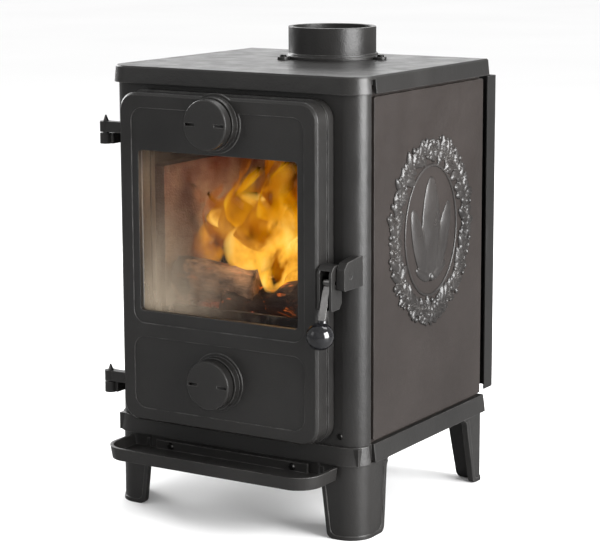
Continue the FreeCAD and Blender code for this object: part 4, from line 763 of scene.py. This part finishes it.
# ---- the braided seal ------------------------------------------------------
@dataclass
class BraidedSeal:
    """Rope of twisted strands that lies in the groove behind the door."""

    material: bpy.types.Material
    strands: int = 3
    pitch: float = 13 * MM
    corner: float = 20 * MM
    spacing: float = 2 * MM        # between points along the rope
    fullness: float = 0.52         # a strand's radius as a share of the rope's

    def centre_line(self) -> list[Vector]:
        """Points along the middle of the rope's groove.

        Returns:
            The points, once round.
        """
        low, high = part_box("door_rope_seal")
        inset = (high.y - low.y) * 0.5 + 1 * MM
        y = (low.y + high.y) / 2
        x_low, x_high = low.x + inset, high.x - inset
        z_low, z_high = low.z + inset, high.z - inset
        work = bmesh.new()
        corners = [(x_low, z_low), (x_high, z_low), (x_high, z_high), (x_low, z_high)]
        verts = [work.verts.new((x, y, z)) for x, z in corners]
        work.faces.new(verts)
        bmesh.ops.bevel(work, geom=work.verts[:], offset=self.corner, segments=10, profile=0.5,
                        affect="VERTICES", material=-1)
        loop = [vert.co.copy() for vert in work.faces[:][0].verts]
        work.free()
        points: list[Vector] = []
        for start, end in zip(loop, loop[1:] + loop[:1]):
            steps = max(1, round((end - start).length / self.spacing))
            points += [start.lerp(end, step / steps) for step in range(steps)]
        return points

    def build(self) -> bpy.types.Object:
        """Make the rope.

        Returns:
            The finished piece.
        """
        low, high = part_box("door_rope_seal")
        radius = (high.y - low.y) / 2
        points = self.centre_line()
        length = sum((b - a).length for a, b in zip(points, points[1:] + points[:1]))
        turns = round(length / self.pitch)
        strand_r = radius * self.fullness
        offset = radius - strand_r
        rearwards = Vector((0, 1, 0))
        work = bmesh.new()
        for strand in range(self.strands):
            curve = bpy.data.curves.new("strand", "CURVE")
            curve.dimensions = "3D"
            curve.bevel_depth = strand_r
            curve.bevel_resolution = 1
            spline = curve.splines.new("POLY")
            spline.points.add(len(points) - 1)
            spline.use_cyclic_u = True
            travelled = 0.0
            for index, point in enumerate(points):
                ahead = points[(index + 1) % len(points)]
                behind = points[index - 1]
                tangent = (ahead - behind).normalized()
                across = tangent.cross(rearwards)
                turn = 2 * math.pi * (travelled / length * turns + strand / self.strands)
                place = point + (across * math.cos(turn) + rearwards * math.sin(turn)) * offset
                spline.points[index].co = (*place, 1.0)
                travelled += (ahead - point).length
            holder = bpy.data.objects.new("strand", curve)
            work.from_mesh(bpy.data.meshes.new_from_object(holder))
            bpy.data.objects.remove(holder)
        bmesh.ops.remove_doubles(work, verts=work.verts, dist=1e-6)
        bmesh.ops.recalc_face_normals(work, faces=work.faces)
        made = finished("rope_seal_braid", work, self.material)
        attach(made, "door")
        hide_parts("door_rope_seal")
        return made


# ---- the fire --------------------------------------------------------------
@dataclass
class Log:
    """One split log."""

    name: str
    centre: tuple[float, float, float]
    turn: float
    tilt: float
    length: float
    radius: float
    material: bpy.types.Material
    split: float = 0.35
    seed: int = 1
    split_side: float = 1.2        # direction of the split face, round the log
    bark: tuple[float, float] = (45, 0.16)         # knots per metre and their depth
    splinters: tuple[float, float] = (160, 0.06)   # the same for the finer grain
    end_wear: float = 4 * MM

    def build(self) -> bpy.types.Object:
        """Make the log.

        Returns:
            The finished piece.
        """
        work = bmesh.new()
        bmesh.ops.create_cone(work, cap_ends=True, segments=22, radius1=self.radius,
                              radius2=self.radius * 0.92, depth=self.length)
        long_edges = [edge for edge in work.edges
                      if abs(edge.verts[0].co.z - edge.verts[1].co.z) > self.length / 2]
        bmesh.ops.subdivide_edges(work, edges=long_edges, cuts=14)
        caps = [face for face in work.faces if len(face.verts) > 6]
        bmesh.ops.inset_individual(work, faces=caps, thickness=self.radius * 0.35)
        shift = Vector((self.seed * 3.7, 0.0, self.seed * 1.3))
        for vert in work.verts:
            flat = Vector((vert.co.x, vert.co.y))
            turn = math.atan2(flat.y, flat.x)
            cut = 1.0 - self.split * max(0.0, math.cos(turn - self.split_side)) ** 2 * 0.9
            rough = sum(noise.noise(vert.co * scale + shift) * depth
                        for scale, depth in (self.bark, self.splinters))
            flat *= cut * (1.0 + rough)
            end = noise.noise(Vector((flat.x * 90, flat.y * 90, self.seed))) * self.end_wear
            at_end = abs(vert.co.z) > self.length * 0.45
            vert.co = (flat.x, flat.y, vert.co.z + (end if at_end else 0.0))
        place = (Matrix.Translation(self.centre) @ Matrix.Rotation(self.turn, 4, "Z")
                 @ Matrix.Rotation(math.pi / 2 + self.tilt, 4, "Y"))
        bmesh.ops.transform(work, matrix=place, verts=work.verts)
        bmesh.ops.recalc_face_normals(work, faces=work.faces)
        made = finished(self.name, work, self.material)
        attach(made, "root")
        return made


class Gas(Enum):
    """The layers of the fire's gas, from its margin inwards."""

    OUTER = 0
    MIDDLE = 1
    CORE = 2


@dataclass(frozen=True)
class Tongue:
    """Place and size of one flame.

    Its foot is where it leaves the fuel, its width is the widest part, and its lean is the
    sideways drift at its tip.
    """

    foot: tuple[float, float, float]
    height: float
    width: float
    lean: float
    gas: Gas


@dataclass
class Fire:
    """Ember bed, logs and flames in the firebox."""

    ember: bpy.types.Material
    logs: tuple[bpy.types.Material, bpy.types.Material]
    gases: dict[Gas, bpy.types.Material]
    seed: int = 11
    gap: float = 1 * MM            # between the bed and the stove's own pieces
    mound: float = 30 * MM
    coal_count: int = 74
    coal_level: float = 0.262
    flame_wall: float = 2.5 * MM

    def bed(self) -> bpy.types.Object:
        """Make the mound of embers and ash on the grate.

        Returns:
            The finished piece.
        """
        half = -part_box("fire_brick_left")[1].x - 2 * self.gap
        y_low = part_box("fuel_guard")[1].y + self.gap
        y_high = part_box("fire_brick_rear")[0].y - self.gap
        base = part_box("grate_frame")[1].z + self.gap
        work = bmesh.new()
        bmesh.ops.create_grid(work, x_segments=72, y_segments=64, size=1.0)
        for vert in work.verts:
            x = vert.co.x * half
            y = (y_low + y_high) / 2 + vert.co.y * (y_high - y_low) / 2
            lumps = noise.cell(Vector((x * 62, y * 62, 0))) * 9 * MM
            soft = noise.noise(Vector((x * 55, y * 55, 3.0))) * 10 * MM
            mound = self.mound * (1 - (vert.co.x ** 2 + vert.co.y ** 2) * 0.35)
            vert.co = (x, y, base + mound + lumps * 0.5 + soft)
        walls = bmesh.ops.extrude_face_region(work, geom=work.faces[:])
        floor = [item for item in walls["geom"] if isinstance(item, bmesh.types.BMVert)]
        for vert in floor:
            vert.co.z = base
        bmesh.ops.recalc_face_normals(work, faces=work.faces)
        made = finished("ember_bed", work, self.ember)
        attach(made, "root")
        return made

    def coals(self) -> bpy.types.Object:
        """Make the loose lumps of charcoal at the front of the bed.

        Returns:
            The finished piece.
        """
        draw = random.Random(self.seed)
        work = bmesh.new()
        for _ in range(self.coal_count):
            size = draw.uniform(6, 13) * MM
            place = Vector((draw.uniform(-0.118, 0.118), draw.uniform(-0.104, 0.02), 0.0))
            place.z = self.coal_level + draw.uniform(-3, 7) * MM
            turn = Matrix.Rotation(draw.uniform(0, 6.28), 4,
                                   Vector((draw.random(), draw.random(), 1)))
            stretch = Matrix.Diagonal((draw.uniform(0.8, 1.7), draw.uniform(0.7, 1.1),
                                       draw.uniform(0.6, 1.0), 1))
            cube = bmesh.ops.create_icosphere(work, subdivisions=2, radius=size,
                                              matrix=Matrix.Translation(place) @ turn @ stretch)
            for vert in cube["verts"]:
                vert.co += (vert.co - place) * noise.noise(vert.co * 120) * 0.55
        bmesh.ops.recalc_face_normals(work, faces=work.faces)
        made = finished("charcoal_lumps", work, self.ember, smooth=False)
        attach(made, "root")
        return made

    def tongue(self, index: int, plan: Tongue, draw: random.Random) -> bpy.types.Object:
        """Make one flame as a thin curved shell with a pattern of body and heat.

        Args:
            index: Number in the piece's name.
            plan: Its place and size.
            draw: Source of the shapes' random draws.

        Returns:
            The finished piece.
        """
        work = bmesh.new()
        bmesh.ops.create_grid(work, x_segments=14, y_segments=34, size=1.0)
        veil = work.verts.layers.float.new("veil")
        heat = work.verts.layers.float.new("heat")
        sway = draw.uniform(0.06, 0.16)
        phase = draw.uniform(0, 6.28)
        yaw = draw.uniform(-0.5, 0.7)
        side = Vector((math.cos(yaw), math.sin(yaw), 0))
        out = Vector((-math.sin(yaw), math.cos(yaw), 0))
        height, width = plan.height, plan.width
        for vert in work.verts:
            across, up = vert.co.x, (vert.co.y + 1) / 2
            body = math.sin(math.pi * min(1.0, up * 0.92 + 0.10)) ** 0.75 * (1.0 - 0.55 * up)
            curl = math.sin(up * 7.5 + phase) * sway * height * up
            flutter = (noise.noise(Vector((across * 1.4 + index, up * 3.0, phase)))
                       * 0.3 * width * up)
            x = across * body * width / 2 + curl + plan.lean * up ** 1.5 + flutter
            bulge = (1 - across ** 2) * 0.22 * width * math.cos(up * 5 + phase)
            vert.co = Vector(plan.foot) + side * x + out * bulge + Vector((0, 0, up * height))
            edge = max(0.0, 1 - abs(across) ** 2.4)
            vert[veil] = edge * min(1.0, up * 9) * min(1.0, (1 - up) * 2.6)
            vert[heat] = max(0.0, (1.0 - up * 0.85) * edge ** 0.6)
        bmesh.ops.solidify(work, geom=work.faces[:], thickness=self.flame_wall)
        bmesh.ops.recalc_face_normals(work, faces=work.faces)
        made = finished(f"flame_{index:02d}", work, self.gases[plan.gas])
        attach(made, "root")
        return made

    def flames(self) -> list[bpy.types.Object]:
        """Make the flames that rise from the logs.

        Returns:
            The finished pieces.
        """
        draw = random.Random(self.seed + 2)
        plans = [
            Tongue((-0.104, -0.045, 0.318), 0.110, 0.100, -0.012, Gas.OUTER),
            Tongue((-0.060, -0.050, 0.315), 0.150, 0.135, -0.015, Gas.OUTER),
            Tongue((-0.015, -0.048, 0.310), 0.180, 0.140, 0.015, Gas.OUTER),
            Tongue((0.034, -0.056, 0.300), 0.165, 0.130, 0.030, Gas.OUTER),
            Tongue((-0.082, -0.055, 0.312), 0.105, 0.095, -0.010, Gas.MIDDLE),
            Tongue((-0.040, -0.060, 0.316), 0.140, 0.110, 0.005, Gas.MIDDLE),
            Tongue((0.004, -0.064, 0.306), 0.160, 0.105, 0.020, Gas.MIDDLE),
            Tongue((0.044, -0.060, 0.298), 0.130, 0.095, 0.020, Gas.MIDDLE),
            Tongue((-0.064, -0.068, 0.316), 0.085, 0.085, 0.000, Gas.CORE),
            Tongue((-0.024, -0.072, 0.314), 0.110, 0.095, 0.010, Gas.CORE),
            Tongue((0.020, -0.076, 0.298), 0.115, 0.095, 0.012, Gas.CORE),
            Tongue((-0.010, 0.020, 0.310), 0.160, 0.170, 0.000, Gas.OUTER),
            Tongue((0.052, -0.078, 0.290), 0.085, 0.080, 0.010, Gas.CORE),
        ]
        return [self.tongue(index, plan, draw) for index, plan in enumerate(plans)]

    def build(self) -> list[bpy.types.Object]:
        """Make the whole fire.

        Returns:
            The finished pieces.
        """
        made = [self.bed(), self.coals()]
        split_wood, bark = self.logs
        stack = [
            Log("log_front_left", (-0.066, -0.084, 0.300), turn=0.10, tilt=0.02, length=0.120,
                radius=0.029, material=split_wood, split=0.65, seed=1),
            Log("log_front_right", (0.048, -0.078, 0.284), turn=-0.40, tilt=-0.14, length=0.140,
                radius=0.029, material=bark, split=0.35, seed=2),
            Log("log_rear", (-0.010, 0.030, 0.292), turn=0.25, tilt=0.0, length=0.210,
                radius=0.035, material=split_wood, split=0.45, seed=3),
            Log("log_small", (-0.010, -0.088, 0.274), turn=0.5, tilt=0.10, length=0.085,
                radius=0.018, material=bark, split=0.6, seed=4),
        ]
        made += [log.build() for log in stack]
        made += self.flames()
        return made


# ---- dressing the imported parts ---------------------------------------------
@dataclass
class Castings:
    """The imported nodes, each given the finish of its material slot."""

    finishes: dict[str, bpy.types.Material]

    def dress(self, frame: dict) -> int:
        """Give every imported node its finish.


        Returns:
            How many nodes were dressed.
        """
        for part in frame["record"]["subparts"]:
            mesh = frame["nodes"][part["node"]].data
            mesh.materials.clear()
            mesh.materials.append(self.finishes[part["material_slot"]])
        return len(frame["record"]["subparts"])


# ---- the studio ------------------------------------------------------------
@dataclass
class SoftBox:
    """One rectangular soft light."""

    name: str
    place: tuple[float, float, float]
    target: tuple[float, float, float]
    size: tuple[float, float]
    power: float
    colour: Colour = (1.0, 1.0, 1.0)

    def build(self) -> bpy.types.Object:
        """Make the light.

        Returns:
            The light.
        """
        lamp = bpy.data.lights.new(self.name, "AREA")
        lamp.shape = "RECTANGLE"
        lamp.size, lamp.size_y = self.size
        lamp.energy = self.power
        lamp.color = self.colour
        made = bpy.data.objects.new(self.name, lamp)
        made.visible_camera = False
        made.location = self.place
        ahead = Vector(self.target) - Vector(self.place)
        made.rotation_euler = ahead.to_track_quat("-Z", "Y").to_euler()
        bpy.context.scene.collection.objects.link(made)
        return made


@dataclass
class Studio:
    """Pale floor, pale surroundings, soft lights and the camera.

    Mirrored rays meet a darker floor and darker surroundings than the camera does.
    """

    azimuth: float = 30.81
    elevation: float = 9.73
    distance: float = 2.8632
    target: tuple[float, float, float] = (0.0, 0.1234, 0.330)
    lens: float = 122.63
    shift: tuple[float, float] = (-0.0705, -0.0637)
    floor_size: float = 30.0
    backdrop: float = 1.15
    surroundings: float = 0.32
    floor_shine: float = 0.16

    def camera(self) -> bpy.types.Object:
        """Make the camera.

        Returns:
            The camera.
        """
        turn, rise = math.radians(self.azimuth), math.radians(self.elevation)
        ahead = Vector((-math.sin(turn) * math.cos(rise), math.cos(turn) * math.cos(rise),
                        -math.sin(rise)))
        lens = bpy.data.cameras.new("camera")
        lens.lens = self.lens
        lens.shift_x, lens.shift_y = self.shift
        lens.clip_end = 100.0
        made = bpy.data.objects.new("camera", lens)
        made.location = Vector(self.target) - ahead * self.distance
        made.rotation_euler = ahead.to_track_quat("-Z", "Y").to_euler()
        bpy.context.scene.collection.objects.link(made)
        bpy.context.scene.camera = made
        return made

    def floor(self) -> bpy.types.Object:
        """Make the pale floor.

        Returns:
            The floor.
        """
        g = Graph("studio_floor")
        pale = g.mix(g.remap(g.grain(0.8, 2.0), 0.3, 0.7, 0.0, 1.0),
                     (0.95, 0.95, 0.95), (0.98, 0.98, 0.98))
        mirrored = g.node("LightPath").outputs["Is Glossy Ray"]
        g.set(g.shader, "Base Color", g.mix(mirrored, pale, (self.floor_shine,) * 3))
        g.set(g.shader, "Roughness", 0.6)
        work = bmesh.new()
        bmesh.ops.create_grid(work, x_segments=2, y_segments=2, size=self.floor_size / 2)
        made = finished("studio_floor", work, g.material)
        return made

    def sky(self) -> None:
        """Set the pale surroundings, darker for mirrored rays."""
        world = bpy.data.worlds.new("surroundings")
        bpy.context.scene.world = world
        world.use_nodes = True
        fill = world.node_tree.nodes["Background"]
        fill.inputs["Color"].default_value = (1.0, 1.0, 1.0, 1.0)
        rays = world.node_tree.nodes.new("ShaderNodeLightPath")
        level = world.node_tree.nodes.new("ShaderNodeMapRange")
        level.inputs["To Min"].default_value = self.backdrop
        level.inputs["To Max"].default_value = self.surroundings
        world.node_tree.links.new(rays.outputs["Is Glossy Ray"], level.inputs["Value"])
        world.node_tree.links.new(level.outputs["Result"], fill.inputs["Strength"])

    def lights(self) -> list[bpy.types.Object]:
        """Make the soft lights.

        Returns:
            The lights.
        """
        boxes = [
            SoftBox("light_right", (2.45, -0.15, 0.95), (0.2, -0.1, 0.35), (1.7, 1.8), 150.0),
            SoftBox("light_above", (0.3, 1.0, 2.4), (0.0, 0.0, 0.4), (2.4, 1.2), 35.0),
            SoftBox("light_behind", (-2.3, 3.9, 1.5), (0.0, 0.1, 0.6), (3.2, 1.3), 22.0),
            SoftBox("light_front", (-1.6, -2.2, 1.5), (0.0, 0.0, 0.35), (1.2, 1.2), 4.0),
            SoftBox("light_left", (-2.5, 0.9, 1.4), (-0.2, 0.0, 0.35), (1.2, 1.6), 45.0),
            SoftBox("fire_glow", (0.03, -0.035, 0.43), (-0.05, -0.03, 0.25), (0.10, 0.05), 1.5,
                    (1.0, 0.70, 0.42)),
        ]
        return [box.build() for box in boxes]

    def build(self) -> None:
        """Make the whole studio."""
        self.sky()
        self.floor()
        self.lights()
        self.camera()
        bpy.context.scene.view_settings.view_transform = "Standard"


def finishes() -> dict[str, bpy.types.Material]:
    """Make every finish of the stove's own parts.

    Returns:
        The materials, by the record's slot.
    """
    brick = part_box("fire_brick_rear")
    return {
        "cast_iron_black": StovePaint("cast_iron_black", (0.010, 0.0095, 0.0092),
                                      (0.019, 0.018, 0.017), (0.120, 0.117, 0.112),
                                      (0.30, 0.42), gloss=0.46).material(),
        # side panels: a lighter, warmer copy of the front's stove paint, painted light for the
        # lamp-lit sides
        "side_panel_iron": StovePaint("side_panel_iron", (0.017, 0.0135, 0.012),
                                      (0.028, 0.023, 0.021), (0.100, 0.088, 0.080),
                                      (0.36, 0.48), gloss=0.34).material(),
        "ornament_iron": StovePaint("ornament_iron", (0.008, 0.007, 0.0065), (0.032, 0.028, 0.026),
                                    (0.160, 0.150, 0.140), (0.24, 0.42), gloss=0.70).material(),
        "inner_iron": SootyIron("inner_iron", (0.020, 0.018, 0.017), (0.22, 0.20, 0.17)).material(),
        "steel_sheet": SheetSteel("steel_sheet", (0.009, 0.0085, 0.008),
                                  (0.03, 0.03, 0.03)).material(),
        # glass haze colour and opacity: partly ash film, partly painted light of the fire-lit side
        # wall seen through the glass
        "glass": StoveGlass("glass", (0.56, 0.47, 0.35), (0.05, 0.02, 0.012),
                            clean=0.04, full_haze_alpha=0.78).material(),
        "firebrick": FireBrick("firebrick", (0.26, 0.20, 0.15), (0.16, 0.11, 0.08),
                               (0.060, 0.010, 0.005), smoke_from=brick[0].z + 0.10,
                               smoke_to=brick[1].z + 0.02).material(),
        "rope_seal": BraidedRope("rope_seal", (0.06, 0.058, 0.055), (0.16, 0.155, 0.15)).material(),
        "bright_steel": PolishedSteel("bright_steel", (0.24, 0.235, 0.23), (0.05, 0.045, 0.045),
                                      roughness=0.17).material(),
        "knob_black": GlossBlack("knob_black", (0.006, 0.006, 0.007)).material(),
        "fasteners": PolishedSteel("fasteners", (0.035, 0.034, 0.033), (0.02, 0.02, 0.02),
                                   roughness=0.45).material(),
    }


def build_fire() -> list[bpy.types.Object]:
    """Make the fire with its own finishes.

    Returns:
        The finished pieces.
    """
    ember = EmberBed("ember_bed", (0.08, 0.07, 0.06), (0.52, 0.47, 0.41), 1.0).material()
    along = (0.12, 1.0, 1.0)
    logs = (
        CharredWood("split_wood", (0.55, 0.34, 0.20), (0.030, 0.022, 0.018), along,
                    charring=0.38, glow=0.25).material(),
        CharredWood("bark", (0.20, 0.11, 0.06), (0.03, 0.024, 0.02), along,
                    charring=0.6, glow=0.8).material(),
    )
    gases = {
        Gas.OUTER: FlameGas("flame_outer", (0.35, 0.08, 0.0), (0.85, 0.34, 0.01),
                            (1.0, 0.62, 0.07), strength=1.0, density=0.56).material(),
        Gas.MIDDLE: FlameGas("flame_middle", (0.6, 0.22, 0.0), (1.0, 0.58, 0.03),
                             (1.0, 0.88, 0.18), strength=1.2, density=0.74).material(),
        Gas.CORE: FlameGas("flame_core", (0.9, 0.42, 0.04), (1.0, 0.78, 0.22),
                           (1.0, 0.94, 0.58), strength=1.5, density=0.84).material(),
    }
    return Fire(ember, logs, gases).build()


def main() -> None:
    """Build the stove's looks in order and report each piece."""
    logging.basicConfig(level=logging.INFO, format="%(name)s %(relativeCreated)6d ms: %(message)s")
    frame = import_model()
    bpy.context.view_layer.update()
    made = finishes()
    LOG.info("dressed %d packed nodes", Castings(made).dress(frame))
    for side, panel in ((Side.RIGHT, "side_panel_right"), (Side.LEFT, "side_panel_left")):
        piece = PanelOrnament(side, panel, made["ornament_iron"]).build()
        LOG.info("%s: %d faces", piece.name, len(piece.data.polygons))
    seal = BraidedSeal(made["rope_seal"]).build()
    LOG.info("%s: %d faces", seal.name, len(seal.data.polygons))
    for piece in build_fire():
        LOG.info("%s: %d faces", piece.name, len(piece.data.polygons))
    Studio().build()
    bpy.context.view_layer.update()


if __name__ == "__main__":
    main()
